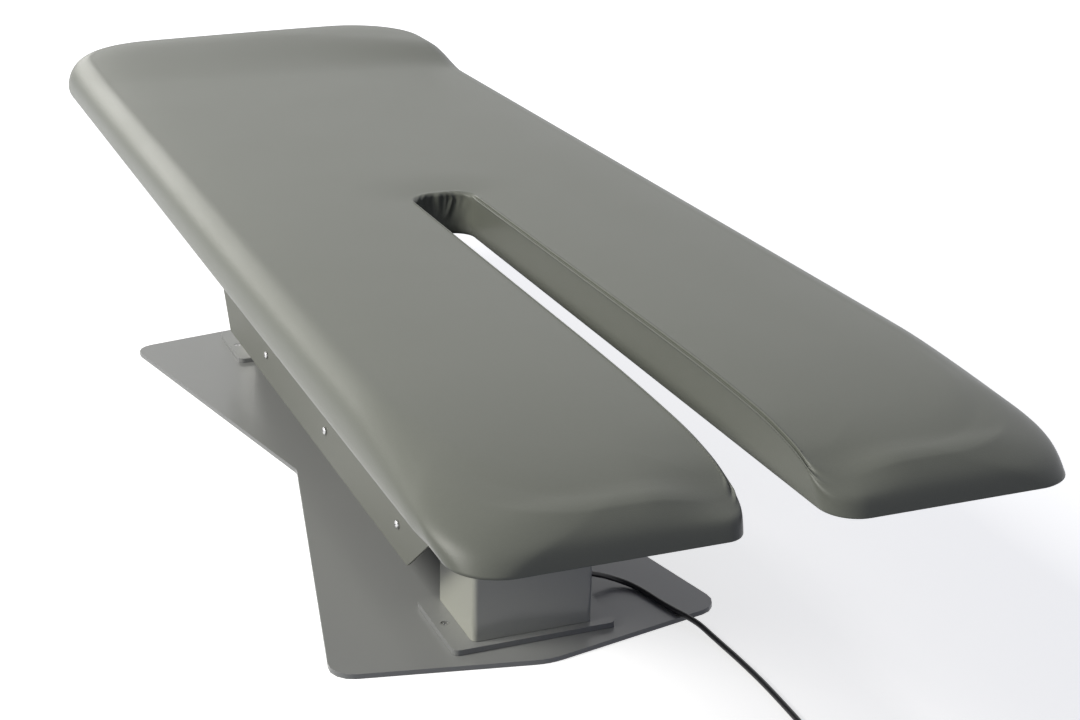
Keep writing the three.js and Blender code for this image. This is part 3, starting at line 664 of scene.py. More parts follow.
@dataclass
class Studio:
    """Camera, floor, world and lamps."""

    camera_place: Point = (-0.7609, -2.207446, 1.094791)
    yaw: float = 0.4004923
    pitch: float = 0.3614596
    roll: float = 0.0225351
    focal_pixels: float = 1876.461
    picture_width: float = 1080.0
    sensor: float = 36.0
    clip: tuple[float, float] = (0.05, 100.0)
    floor_size: float = 40.0
    floor_drop: float = 0.0003
    floor_colour: Colour = (0.8, 0.8, 0.8)
    floor_glow: Colour = (0.71, 0.71, 0.7)
    far_floor: tuple[float, float] = (1.1, 3.2)
    bounce_colour: Colour = (0.12, 0.13, 0.17)
    ambient: Colour = (0.11, 0.12, 0.185)
    lamps: tuple[Lamp, ...] = (
        Lamp("left_lamp", (-2.9, -0.15, 2.75), (0.0, -0.1, 0.3), (2.0, 1.8), 148.0, (1.0, 0.985, 0.93)),
        Lamp("top_lamp", (0.2, 1.3, 3.6), (0.0, 0.2, 0.4), (2.4, 2.4), 10.0, (1.0, 0.985, 0.94)),
        Lamp("back_lamp", (-1.2, 4.7, 1.65), (-0.1, 0.0, 0.4), (2.6, 0.9), 31.0, (1.0, 0.985, 0.94)),
    )

    def camera(self) -> None:
        """Adds the camera at the photograph's place and angle."""
        forward = Vector((math.sin(self.yaw) * math.cos(self.pitch),
                          math.cos(self.yaw) * math.cos(self.pitch), -math.sin(self.pitch)))
        level = Vector((math.cos(self.yaw), -math.sin(self.yaw), 0.0))
        rise = level.cross(forward)
        right = level * math.cos(self.roll) + rise * math.sin(self.roll)
        up = rise * math.cos(self.roll) - level * math.sin(self.roll)
        data = bpy.data.cameras.new("camera")
        data.sensor_width = self.sensor
        data.lens = self.sensor * self.focal_pixels / self.picture_width
        data.clip_start, data.clip_end = self.clip
        camera = bpy.data.objects.new("camera", data)
        bpy.context.scene.collection.objects.link(camera)
        turn = Matrix((right, up, -forward)).transposed().to_4x4()
        camera.matrix_world = Matrix.Translation(self.camera_place) @ turn
        bpy.context.scene.camera = camera

    def _seen(self, brush: Brush) -> Ink:
        """1 for the rays that show the background, from the camera or a gloss.

        Args:
            brush: the tree's brush.

        Returns:
            The mask.
        """
        path = brush.node("ShaderNodeLightPath", {}, {}, "Is Camera Ray")
        outputs = path.socket.node.outputs
        glossy = Ink(brush, outputs["Is Glossy Ray"])
        through = Ink(brush, outputs["Is Transmission Ray"])
        return path.most(glossy).most(through)

    def floor(self) -> None:
        """Adds the pale floor, which keeps the object's shadow."""
        bpy.ops.object.select_all(action="DESELECT")
        bpy.ops.mesh.primitive_plane_add(size=self.floor_size, location=(0, 0, -self.floor_drop))
        floor = bpy.context.object
        floor.name = "studio_floor"
        settle(floor)
        made = bpy.data.materials.new("pale_floor")
        made.use_nodes = True
        brush = Brush(made.node_tree)
        pale = brush.node("ShaderNodeBsdfDiffuse", {}, {"Color": solid(self.floor_colour)})
        away = brush.node("ShaderNodeVectorMath", {"operation": "LENGTH"}, {0: brush.place()}, "Value")
        far = brush.marks(away, *self.far_floor)
        tone = brush.blend(far, solid(self.floor_glow), solid(WHITE))
        glow = brush.node("ShaderNodeEmission", {}, {"Color": tone, "Strength": 1.0})
        shown = brush.node("ShaderNodeAddShader", {}, {0: pale, 1: glow})
        bounce = brush.node("ShaderNodeBsdfDiffuse", {}, {"Color": solid(self.bounce_colour)})
        mixed = brush.node("ShaderNodeMixShader", {}, {0: self._seen(brush), 1: bounce, 2: shown})
        brush.node("ShaderNodeOutputMaterial", {}, {"Surface": mixed})
        floor.data.materials.append(made)

    def world(self) -> None:
        """Sets the even light of the room and its white background."""
        world = bpy.data.worlds.new("studio_world")
        world.use_nodes = True
        brush = Brush(world.node_tree)
        room = brush.node("ShaderNodeBackground", {}, {"Color": solid(self.ambient), "Strength": 1.0})
        white = brush.node("ShaderNodeBackground", {}, {"Color": solid(WHITE), "Strength": 1.0})
        mixed = brush.node("ShaderNodeMixShader", {}, {0: self._seen(brush), 1: room, 2: white})
        brush.node("ShaderNodeOutputWorld", {}, {"Surface": mixed})
        bpy.context.scene.world = world

    def build(self) -> None:
        """Adds everything round the object."""
        bpy.context.scene.view_settings.view_transform = "Standard"
        self.floor()
        self.world()
        for lamp in self.lamps:
            lamp.build()


def centripetal(points: Sequence[Vector], per_span: int) -> list[Vector]:
    """Points on the smooth curve through some points.

    Args:
        points: the points that the curve passes through.
        per_span: how many pieces each span is cut into.

    Returns:
        The points of the finer line, ends included.
    """
    ends = [2 * points[0] - points[1], *points, 2 * points[-1] - points[-2]]
    line = [points[0].copy()]
    for first, start, stop, last in zip(ends, ends[1:], ends[2:], ends[3:]):
        before = (start - first).length ** 0.5
        within = (stop - start).length ** 0.5
        after = (last - stop).length ** 0.5
        leave = ((start - first) / before - (stop - first) / (before + within)
                 + (stop - start) / within) * within
        arrive = ((stop - start) / within - (last - start) / (within + after)
                  + (last - stop) / after) * within
        for step in range(1, per_span + 1):
            t = step / per_span
            line.append(start + leave * t + (3 * (stop - start) - 2 * leave - arrive) * t * t
                        + (2 * (start - stop) + leave + arrive) * t * t * t)
    return line


@dataclass
class MainsLead:
    """The lead: free stretch and coil, strain relief and plug, in millimetres as in the part."""

    diameter: float = 7.0
    gap: float = 0.8
    inner_radius: float = 27.0
    turns_per_layer: int = 4
    steps: int = 24
    lead_out: float = 42.0
    coil_centre: tuple[float, float] = (257.0, -820.0)
    on_floor: float = 3.5
    route: tuple[Point, ...] = (
        (104.8, -312.25, 25.65), (111.8, -312.25, 25.15), (122.6, -313.2, 22.2), (134, -314.4, 18.4),
        (145.3, -318.8, 14.7), (156.6, -327.8, 11.8), (165, -341, 10.3), (171.5, -361.2, 9.95),
        (178, -388.6, 9.85), (184, -410, 9.85), (190.2, -428, 9.85), (197.4, -450, 8.2), (202, -474.6, 5),
        (204.5, -500, 3.7), (206.5, -535, 3.5), (207.5, -590, 3.5), (205.5, -655, 3.5), (202.275, -716, 3.5),
        (199.775, -768, 3.5), (199.775, -798.7, 3.5), (199.775, -812.7, 3.5))
    relief_ribs: int = 5
    relief_profile: tuple[tuple[float, float], ...] = (
        (8.3, 0.0), (9.0, 0.7), (9.0, 3.3), (8.2, 4.0), (6.5, 4.3))
    relief_length: float = 28.0
    relief_tip: float = 4.75
    blade_spacing: float = 12.7
    blade_size: Point = (1.6, 16.0, 6.3)
    blade_drop: float = 3.0
    pin_radius: float = 2.4
    pin_rise: float = 4.5
    plug_body: Point = (27.0, 38.0, 22.6)
    plug_relief: float = 22.0
    plug_cuts: int = 7
    plug_waist: tuple[float, float] = (0.16, 1.35)
    plug_neck: tuple[float, float] = (0.24, 0.3)
    plug_flat: tuple[float, float] = (0.3, 0.35)

    def coil(self) -> list[Vector]:
        """Points of the coil: in on the floor, up one layer at the middle and out on top.

        Returns:
            The points, in millimetres.
        """
        pitch = self.diameter + self.gap
        points = []
        for step in range(2 * self.turns_per_layer * self.steps + 1):
            turn = step / self.steps
            from_middle = abs(turn - self.turns_per_layer)
            widening = from_middle - 0.125 if from_middle > 0.25 else 2 * from_middle * from_middle
            radius = self.inner_radius + pitch * widening
            angle = math.pi + turn * math.tau
            climb = ease((turn - self.turns_per_layer) * 2 + 0.5)
            points.append(Vector((self.coil_centre[0] + radius * math.cos(angle),
                                  self.coil_centre[1] + radius * math.sin(angle),
                                  self.on_floor + pitch * climb)))
        last = points[-1]
        points += [last - Vector((0, self.lead_out * share, 0)) for share in (1 / 3, 2 / 3, 1)]
        return points

    def line(self) -> list[Vector]:
        """The whole centreline in metres."""
        free = centripetal([Vector(point) for point in self.route], 8)
        return [point * MILLIMETRE for point in free + self.coil()]

    def ribbed(self, name: str, start: Sequence[tuple[float, float]], length: float,
               tip: float) -> bpy.types.Object:
        """A tapered sleeve with ribs round it, standing on +Z.

        Args:
            name: the object's name.
            start: (radius, height) pairs before the taper, in millimetres.
            length: the whole length.
            tip: the radius at the thin end.

        Returns:
            The sleeve.
        """
        root_radius, root = start[-1]
        profile = list(start)
        run = (length - root - 1.0) / self.relief_ribs
        for rib in range(self.relief_ribs):
            low = root + run * rib
            radius = root_radius + (tip - root_radius) * (rib + 0.5) / self.relief_ribs
            profile += [(radius - 0.7, low + run * 0.12), (radius - 0.7, low + run * 0.34),
                        (radius, low + run * 0.46), (radius, low + run * 0.9)]
        profile += [(tip, length - 0.6), (tip - 0.5, length)]
        metres = [(radius * MILLIMETRE, height * MILLIMETRE) for radius, height in profile]
        sleeve = drawn_out(name, metres, 40)
        smooth(sleeve, 40.0)
        return sleeve

    def strain_relief(self) -> bpy.types.Object:
        """Makes the tapered sleeve where the lead leaves the column.

        Returns:
            The sleeve.
        """
        node = Node("cord_gland")
        low, _, middle = box_of(node.name)
        sleeve = self.ribbed("strain_relief", self.relief_profile, self.relief_length, self.relief_tip)
        turned_to(sleeve, Matrix.Rotation(math.pi / 2, 3, "Y"), (low.x, middle.y, middle.z))
        node.stand_in(sleeve, Surface.BLACK_PLASTIC)
        return sleeve

    def grip(self, root: Vector) -> bpy.types.Object:
        """Makes the plug's grip, with a waist and a flat neck.

        Args:
            root: where the lead enters the plug.

        Returns:
            The grip.
        """
        width, depth, height = (value * MILLIMETRE for value in self.plug_body)
        relief = self.plug_relief * MILLIMETRE
        grip = block("plug_grip", (width, depth, height), root - Vector((0, relief + depth / 2, 0)))
        bpy.ops.object.mode_set(mode="EDIT")
        bpy.ops.mesh.select_all(action="SELECT")
        bpy.ops.mesh.subdivide(number_cuts=self.plug_cuts)
        bpy.ops.object.mode_set(mode="OBJECT")
        waist, waist_spread = self.plug_waist
        neck, neck_end = self.plug_neck
        flat, flat_end = self.plug_flat
        for vert in grip.data.vertices:
            along = (root.y - relief - vert.co.y) / depth
            narrow = (1 - waist * math.sin(math.pi * min(1.0, along * waist_spread)) ** 2
                      - neck * ease(neck_end - along))
            vert.co.x = root.x + (vert.co.x - root.x) * narrow
            vert.co.z = root.z + (vert.co.z - root.z) * (1 - flat * ease((flat_end - along) / flat_end))
        modify(grip, "BEVEL", width=0.0045, segments=4, limit_method="ANGLE", angle_limit=math.radians(60))
        smooth(grip, 50.0)
        return grip

    def blade(self, side: int, label: str, root: Vector, face: float) -> bpy.types.Object:
        """Makes one flat blade of the plug.

        Args:
            side: -1 for the left, 1 for the right.
            label: the side's name.
            root: where the lead enters the plug.
            face: the place of the plug's face along the table.

        Returns:
            The blade.
        """
        size_x, size_y, size_z = (value * MILLIMETRE for value in self.blade_size)
        blade = block(f"plug_{label}_blade", (size_x, size_y + 0.002, size_z),
                      (root.x + side * self.blade_spacing * MILLIMETRE / 2, face - size_y / 2 + 0.001,
                       root.z - self.blade_drop * MILLIMETRE))
        modify(blade, "BEVEL", width=0.0005, segments=2)
        smooth(blade)
        return blade

    def plug(self) -> list[bpy.types.Object]:
        """Makes the plug's sleeve, its grip, its two blades and its earth pin.

        Returns:
            The pieces of the plug.
        """
        node = Node("cord_plug")
        _, high, middle = box_of(node.name)
        root = Vector((middle.x, high.y, middle.z))
        relief = self.plug_relief * MILLIMETRE
        face = root.y - relief - self.plug_body[1] * MILLIMETRE
        backwards = Matrix.Rotation(math.pi / 2, 3, "X")
        sleeve = self.ribbed("plug_sleeve", ((5.0, 0.0), (5.2, 0.4)), self.plug_relief + 2.0, 4.2)
        sleeve.data.transform(Matrix.Rotation(math.pi, 4, "X"))
        turned_to(sleeve, backwards, root - Vector((0, relief + 0.002, 0)))
        node.stand_in(sleeve, Surface.BLACK_PLASTIC)
        grip = self.grip(root)
        node.stand_in(grip, Surface.BLACK_PLASTIC, replaces=False)
        blades = [self.blade(side, label, root, face) for side, label in ((-1, "left"), (1, "right"))]
        radius, length = self.pin_radius * MILLIMETRE, self.blade_size[1] * MILLIMETRE
        pin = drawn_out("plug_earth_pin", ((radius, -0.001), (radius, length - radius),
                                           (radius * 0.9, length - radius / 2),
                                           (radius * 0.5, length - 0.0001)), 24)
        smooth(pin, 50.0)
        turned_to(pin, backwards, (root.x, face, root.z + self.pin_rise * MILLIMETRE))
        for contact in (*blades, pin):
            node.stand_in(contact, Surface.BRASS, replaces=False)
        return [sleeve, grip, *blades, pin]

    def build(self) -> None:
        points = self.line()
        curve = bpy.data.curves.new("mains_lead", "CURVE")
        curve.dimensions = "3D"
        curve.bevel_depth = self.diameter * MILLIMETRE / 2
        curve.bevel_resolution = 4
        curve.use_fill_caps = True
        spline = curve.splines.new("POLY")
        spline.points.add(len(points) - 1)
        for knot, point in zip(spline.points, points):
            knot.co = (*point, 1.0)
        spline.use_smooth = True
        lead = bpy.data.objects.new("mains_lead", curve)
        bpy.context.scene.collection.objects.link(lead)
        dress(lead, Surface.CORD_RUBBER)
        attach(lead, "base")
        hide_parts("cord_stretch", "cord_coil")
        length = sum((b - a).length for a, b in zip(points, points[1:]))
        pieces = [self.strain_relief(), *self.plug()]
        log.info("mains lead %.3f m, with strain relief and plug", length)


@dataclass(frozen=True)
class Level:
    """One ring of the cushion: its insets from the sides, the slot and the leg ends, and its heights."""

    outer: float
    slot: float
    end: float
    leg_radius: float
    slot_height: float = 0.0
    low: float | None = None
    crown: float = 0.0
    seam_offset: float = NO_SEAM
    wall_share: float = 0.0


@dataclass
class Cushion:
    """The padded top in one piece, split at the leg end by a slot with a topstitched edge."""

    length: float = 1.944
    width: float = 0.617
    thickness: float = 0.055
    underside: float = 0.403
    slot_width: float = 0.077
    slot_length: float = 0.902
    slot_corner: float = 0.023
    mouth_corner: float = 0.036
    left_mouth_corner: float = 0.024
    lower_leg_corner: float = 0.0432
    leg_corner: float = 0.0702
    upper_leg_corner: float = 0.12204
    end_lean: float = 0.005
    head_corner: float = 0.15
    shoulder: float = 0.04
    lower_edge_height: float = 0.016
    lower_edge_inset: float = 0.003
    lower_side_inset: float = 0.011
    slot_edge: float = 0.005
    leg_fall: float = 0.351
    fall_power: float = 2.4
    crown: float = 0.003
    crown_outer_inset: float = 0.11502
    crown_slot_inset: float = 0.09504
    head_rise: float = 0.0204
    head_rise_length: float = 0.335
    head_rise_ramp: float = 0.121
    head_rise_gentle_ramp: float = 0.27
    head_rise_left_reach: float = 0.665
    smallest_corner: float = 0.001
    fill_pitch: float = 0.022
    seam_offsets: tuple[float, ...] = (0.4, 0.8, 1.3, 1.8, 2.4, 3.0, 3.6, 4.3, 5.2, 6.5)
    stitch_offset: float = 0.0033
    stitch_pitch: float = 0.0042
    stitch_length: float = 0.0031
    wall_angle: float = 27.0
    nose_length: float = 0.06
    nose_slope: float = 38.0
    nose_rounds: int = 70
    nose_rings: tuple[int, int] = (2, 28)
    nose_reach: float = 0.1
    shoulder_growth: float = 0.045
    shoulder_growth_length: float = 0.3
    slot_reach: float = 0.09
    corner_reach: float = 0.036
    ridge_places: tuple[tuple[float, float], ...] = (
        (0.005, 0.016), (0.02, 0.0198), (0.033, 0.0252), (0.05, 0.0318), (0.073, 0.0396), (0.1, 0.0447),
        (0.135, 0.049), (0.19, 0.052), (0.26, 0.054), (0.356, 0.055))
    left_slot_corner_growth: float = 0.011
    left_slot_corner_margin: float = 0.02
    lower_rings: int = 6
    wall_rings: int = 10
    top_rings: int = 16
    side_steps: tuple[int, float] = (120, 1.4)
    slot_steps: tuple[int, float] = (110, 1.2)
    leg_corner_steps: int = 20
    head_corner_steps: int = 24
    head_steps: int = 30
    leg_end_steps: int = 18
    mouth_steps: int = 16
    slot_end_steps: int = 26
    seam_groove: tuple[float, float] = (-0.0018, 0.0009)
    seam_ridges: tuple[float, float, float] = (0.0011, 0.0022, 0.0014)
    seam_rows: tuple[float, float] = (-0.0006, 0.0006)
    seam_stop: tuple[float, float] = (0.034, 0.016)
    seam_fade: tuple[float, float] = (0.4, 0.5)
    stitch_radius: float = 0.0003
    stitch_stop: float = 0.03
    folds: tuple[tuple[float, float, float, float], ...] = (
        (-0.033, 0.35, 0.0030, 0.7), (-0.023, 0.3, 0.0036, 1.0), (-0.012, 0.1, 0.0030, 0.6),
        (0.001, 0.05, 0.0045, 1.0), (0.0115, -0.1, 0.0024, 0.5), (0.0196, -0.3, 0.0024, 1.2),
        (0.0285, -0.15, 0.0032, 0.8), (0.0365, -0.3, 0.003, 0.6))
    fold_start: tuple[float, float] = (0.036, 0.03)
    fold_drop: float = 0.03
    fold_growth: float = 0.06
    fold_depth: float = 0.0024
    fold_balance: float = 0.5
    rings: list[list[Vector]] = field(default_factory=list)

    def edge_profile(self, offset: float) -> tuple[float, float]:
        """Inset and height of the slot's edge at a distance across its seam, up from the wall.

        Args:
            offset: the distance, less than 0 below the seam.

        Returns:
            The inset and the height.
        """
        half = self.slot_edge * math.pi / 4
        wall_top = self.thickness - self.slot_edge
        if offset < -half:
            return 0.0, wall_top + offset + half
        if offset > half:
            return self.slot_edge + offset - half, self.thickness
        turn = math.pi / 4 + offset / self.slot_edge
        return self.slot_edge * (1 - math.cos(turn)), wall_top + self.slot_edge * math.sin(turn)

    def ring_level(self, angle: float, slot: float, slot_height: float, seam_offset: float,
                   wall_share: float) -> Level:
        """One ring of the shoulders.

        Args:
            angle: how far it has climbed the outer shoulder, from 0 to 90 degrees.
            slot: its inset from the slot.
            slot_height: its height at the slot.
            seam_offset: its distance from the seam.
            wall_share: 1 at the top of the slot's wall, less below and above.

        Returns:
            The ring's numbers.
        """
        turn = math.radians(angle)
        inset = self.shoulder * (1 - math.cos(turn))
        corner = self.leg_corner + (self.upper_leg_corner - self.leg_corner) * math.sin(turn)
        return Level(inset, slot, self.end_lean + inset, corner, slot_height, seam_offset=seam_offset,
                     wall_share=wall_share)

    def levels(self) -> list[Level]:
        """The rings from the underside up.

        Returns:
            The rings' numbers.
        """
        made = []
        for step in range(self.lower_rings + 1):
            angle = step / self.lower_rings * math.pi / 2
            climb = 1 - math.cos(angle)
            left = 1 - math.sin(angle)
            corner = self.lower_leg_corner + (self.leg_corner - self.lower_leg_corner) * climb
            made.append(Level(self.lower_side_inset * left, self.lower_edge_inset * left,
                              self.end_lean * climb, corner, low=self.lower_edge_height * climb))
        offsets = [value * MILLIMETRE for value in self.seam_offsets]
        across = [*(-value for value in reversed(offsets)), 0.0, *offsets]
        wall_end = self.edge_profile(across[0] - MILLIMETRE)[1]
        for step in range(1, self.wall_rings + 1):
            share = step / self.wall_rings
            height = self.lower_edge_height + (wall_end - self.lower_edge_height) * share
            made.append(self.ring_level(self.wall_angle * share, 0.0, height, NO_SEAM, share))
        for step, offset in enumerate(across, 1):
            share = step / len(across)
            slot, height = self.edge_profile(offset)
            made.append(self.ring_level(self.wall_angle + (90 - self.wall_angle) * share, slot, height,
                                        offset, 1 - share))
        slot_start = self.edge_profile(across[-1])[0]
        for step in range(1, self.top_rings + 1):
            share = step / self.top_rings
            spread = (self.crown_outer_inset - self.shoulder) * share
            made.append(Level(self.shoulder + spread,
                              slot_start + (self.crown_slot_inset - slot_start) * share,
                              self.end_lean + self.shoulder + spread, self.upper_leg_corner - spread,
                              self.thickness, crown=self.crown * (1 - (1 - share) ** 2)))
        return made

    def fall(self, y: float) -> float:
        """The share of the height that is left at a place towards the leg ends, with a rounded nose.

        Args:
            y: the place along the table.

        Returns:
            The share.
        """
        far = y + self.length / 2

        def curve(reach: float) -> float:
            """The share at a distance from the leg ends, without the nose."""
            past = min(1.0, max(0.0, 1 - reach / self.leg_fall))
            return (1 - past ** self.fall_power) ** (1 / self.fall_power)

        if far >= self.nose_length:
            return curve(far)
        step = 0.0002
        stop = curve(self.nose_length)
        leave = (curve(self.nose_length + step) - stop) / step
        run = self.nose_length - self.end_lean
        t = min(1.0, max(0.0, (far - self.end_lean) / run))
        return (self.nose_slope * run * t * (1 - t) ** 2 + stop * t * t * (3 - 2 * t)
                - leave * run * t * t * (1 - t))

    def ridge(self, y: float) -> float:
        """The share of the height that is left at the slot's edge towards the leg ends.

        Args:
            y: the place along the table.

        Returns:
            The share.
        """
        far = y + self.length / 2
        low = self.lower_edge_height
        places = self.ridge_places
        if far <= places[0][0]:
            return 0.0
        for index in range(len(places) - 1):
            (start, first), (stop, second) = places[index:index + 2]
            if far > stop:
                continue
            before, after = places[max(0, index - 1)], places[min(len(places) - 1, index + 2)]
            leave = (second - before[1]) / (stop - before[0])
            arrive = (after[1] - first) / (after[0] - start)
            run = stop - start
            t = (far - start) / run
            height = (first * (1 + 2 * t) * (1 - t) ** 2 + second * t * t * (3 - 2 * t)
                      + run * t * (1 - t) * (leave * (1 - t) - arrive * t))
            return (height - low) / (self.thickness - low)
        return 1.0

    def lift(self, x: float, y: float) -> float:
        """The rise of the head end: short and steep on the right, long and gentle elsewhere.

        Args:
            x: the place across the table.
            y: the place along the table.

        Returns:
            The rise.
        """
        short = ease(x / (self.width / 2))
        ramp = self.head_rise_ramp + (self.head_rise_gentle_ramp - self.head_rise_ramp) * (1 - short)
        along = ease((y - self.length / 2 + self.head_rise_length) / ramp)
        across = ease((x + self.head_rise_left_reach) / (self.width / 2 + self.head_rise_left_reach))
        return self.head_rise * along * across

    def share(self, x: float, y: float) -> float:
        """The share of the height that is left at a place of a leg, less beside the slot."""
        left, ridge = self.fall(y), self.ridge(y)
        return ridge + (left - ridge) * ease((abs(x) - self.slot_width / 2) / self.slot_reach)

    def rounded(self, inset: float, y: float) -> float:
        """How far the outer shoulder has climbed at an inset; it grows wider towards the leg ends.

        Args:
            inset: the distance from the outer side.
            y: the place along the table.

        Returns:
            A share from 0 to 1.
        """
        grown = 1 - ease((y + self.length / 2) / self.shoulder_growth_length)
        across = min(1.0, inset / (self.shoulder + self.shoulder_growth * grown))
        return math.sqrt(max(0.0, 1 - (1 - across) ** 2))

    def height(self, level: Level, x: float, y: float, outer: float, slot: float) -> float:
        """Height of a ring point over the underside.

        Args:
            level: the ring.
            x: the point's place across the table.
            y: its place along the table.
            outer: its weight as a point of the outer side.
            slot: its weight as a point beside the slot; the rest is its weight as a point of a leg end.

        Returns:
            The height.
        """
        if level.low is not None:
            return level.low
        low = self.lower_edge_height
        rise = self.thickness - low
        near_y = level.end - self.length / 2
        nose_y = near_y + (y - near_y) * ease(level.outer / self.corner_reach)
        climbed = outer * self.rounded(level.outer, y) + slot * (level.slot_height - low) / rise
        end = 1 - outer - slot
        share = self.share(x, y)
        return (low + rise * (climbed * share + end * self.share(x, nose_y))
                + self.lift(x, y) * (climbed + end) + level.crown * share)

    def ring(self, level: Level) -> list[tuple[Vector, float]]:
        """One closed ring as (point, slot weight).

        Args:
            level: the ring's insets and heights.

        Returns:
            The points, counter-clockwise seen from above.
        """
        points: list[tuple[Vector, float]] = []
        outer_x = self.width / 2 - level.outer
        slot_x = self.slot_width / 2 + level.slot
        near_y = level.end - self.length / 2
        head_y = self.length / 2 - level.outer
        slot_y = self.slot_length + level.slot - self.length / 2
        leg = level.leg_radius
        left_mouth = max(self.left_mouth_corner - level.slot, self.smallest_corner)
        right_mouth = max(self.mouth_corner - level.slot, self.smallest_corner)
        head = self.head_corner - level.outer
        inner = min(self.slot_corner + level.slot, slot_x - self.smallest_corner)
        wall = self.thickness - self.left_slot_corner_margin
        climbed = min(1.0, max(0.0, (level.slot_height - self.lower_edge_height) / wall))
        left_inner = min(inner + self.left_slot_corner_growth * ease(climbed), slot_x - self.smallest_corner)

        def put(x: float, y: float, outer: float, slot: float) -> None:
            """Adds one point with its weights."""
            z = self.underside + self.height(level, x, y, outer, slot)
            points.append((Vector((x, y, z)), slot))

        def line(start: tuple[float, float], stop: tuple[float, float], shares: Iterable[float],
                 outer: float, slot: float) -> None:
            """Adds points between a start and a stop, at some shares of the way.

            Args:
                start: the place at share 0.
                stop: the place at share 1.
                shares: the shares.
                outer: the points' weight for the outer side.
                slot: their weight for the slot.
            """
            for share in shares:
                put(start[0] + (stop[0] - start[0]) * share, start[1] + (stop[1] - start[1]) * share,
                    outer, slot)

        def arc(centre: tuple[float, float], radius: float, start: float, turn: float, steps: int,
                kinds: tuple[tuple[float, float], tuple[float, float]]) -> None:
            """Adds an arc whose weights go from the first kind to the second.

            Args:
                centre: its centre.
                radius: its radius.
                start: its first angle, in degrees.
                turn: how far it turns, in degrees.
                steps: how many pieces it has.
                kinds: the weights at its two ends.
            """
            for step in range(steps + 1):
                share = step / steps
                angle = math.radians(start + turn * share)
                (outer_a, slot_a), (outer_b, slot_b) = kinds
                put(centre[0] + radius * math.cos(angle), centre[1] + radius * math.sin(angle),
                    outer_a + (outer_b - outer_a) * share, slot_a + (slot_b - slot_a) * share)

        def growing(steps: int, growth: float) -> list[float]:
            """Shares that lie closer together at the start."""
            whole = math.exp(growth) - 1
            return [(math.exp(growth * step / steps) - 1) / whole for step in range(1, steps)]

        def even(steps: int) -> list[float]:
            """Evenly spread shares."""
            return [step / steps for step in range(1, steps)]

        def mirrored(shares: list[float]) -> list[float]:
            """The same shares from the other end."""
            return [1 - share for share in reversed(shares)]

        side, inside = growing(*self.side_steps), growing(*self.slot_steps)
        end, edge, gap = (0.0, 0.0), (1.0, 0.0), (0.0, 1.0)
        arc((outer_x - leg, near_y + leg), leg, -90, 90, self.leg_corner_steps, (end, edge))
        line((outer_x, near_y + leg), (outer_x, head_y - head), side, 1, 0)
        arc((outer_x - head, head_y - head), head, 0, 90, self.head_corner_steps, (edge, edge))
        line((outer_x - head, head_y), (head - outer_x, head_y), even(self.head_steps), 1, 0)
        arc((head - outer_x, head_y - head), head, 90, 90, self.head_corner_steps, (edge, edge))
        line((-outer_x, head_y - head), (-outer_x, near_y + leg), mirrored(side), 1, 0)
        arc((leg - outer_x, near_y + leg), leg, 180, 90, self.leg_corner_steps, (edge, end))
        line((leg - outer_x, near_y), (-slot_x - left_mouth, near_y), even(self.leg_end_steps), 0, 0)
        arc((-slot_x - left_mouth, near_y + left_mouth), left_mouth, -90, 90, self.mouth_steps, (end, gap))
        line((-slot_x, near_y + left_mouth), (-slot_x, slot_y - left_inner), inside, 0, 1)
        arc((left_inner - slot_x, slot_y - left_inner), left_inner, 180, -90, self.slot_end_steps, (gap, gap))
        line((left_inner - slot_x, slot_y), (slot_x - inner, slot_y), even(self.slot_end_steps), 0, 1)
        arc((slot_x - inner, slot_y - inner), inner, 90, -90, self.slot_end_steps, (gap, gap))
        line((slot_x, slot_y - inner), (slot_x, near_y + right_mouth), mirrored(inside), 0, 1)
        arc((slot_x + right_mouth, near_y + right_mouth), right_mouth, 180, 90, self.mouth_steps, (gap, end))
        line((slot_x + right_mouth, near_y), (outer_x - leg, near_y), even(self.leg_end_steps), 0, 0)
        return points

    def inner_height(self, x: float, y: float) -> float:
        """Height of the surface inside the last ring.

        Args:
            x: the place across the table.
            y: the place along the table.

        Returns:
            The height over the floor.
        """
        rise = self.thickness - self.lower_edge_height
        return (self.underside + self.lower_edge_height + (rise + self.crown) * self.share(x, y)
                + self.lift(x, y))

    def fill(self, mesh: bmesh.types.BMesh, ring: list[bmesh.types.BMVert], top: bool) -> None:
        """Closes the last ring with a fine net, or the first with a plain face.

        Args:
            mesh: the mesh under construction.
            ring: the vertices of the ring.
            top: whether this is the upper face.
        """
        outline = [Vector((vert.co.x, vert.co.y)) for vert in ring]
        inside: list[Vector] = []
        if top:
            x_low = min(point.x for point in outline)
            y_low = min(point.y for point in outline)
            y_high = max(point.y for point in outline)
            columns = int(-2 * x_low / self.fill_pitch)
            rows = int(self.length / self.fill_pitch)
            slot_x = self.slot_width / 2 + self.crown_slot_inset + self.fill_pitch / 2
            slot_y = self.slot_length + self.crown_slot_inset - self.length / 2 + self.fill_pitch / 2
            for column in range(1, columns):
                for row in range(1, rows):
                    x = x_low * (1 - 2 * column / columns)
                    y = y_low + (y_high - y_low) * row / rows
                    if abs(x) > slot_x or y > slot_y:
                        inside.append(Vector((x, y)))
        count = len(outline)
        edges = [(index, (index + 1) % count) for index in range(count)]
        places, _, faces, _, _, _ = geometry.delaunay_2d_cdt(outline + inside, edges, [], 1, 1e-7)
        verts = list(ring)
        for place in places[count:]:
            verts.append(mesh.verts.new((place.x, place.y, self.inner_height(place.x, place.y))))
        for face in faces:
            corners = [verts[index] for index in face]
            first, second, third = (corner.co for corner in corners[:3])
            upwards = (second - first).cross(third - first).z > 0
            if upwards != top:
                corners.reverse()
            mesh.faces.new(corners)

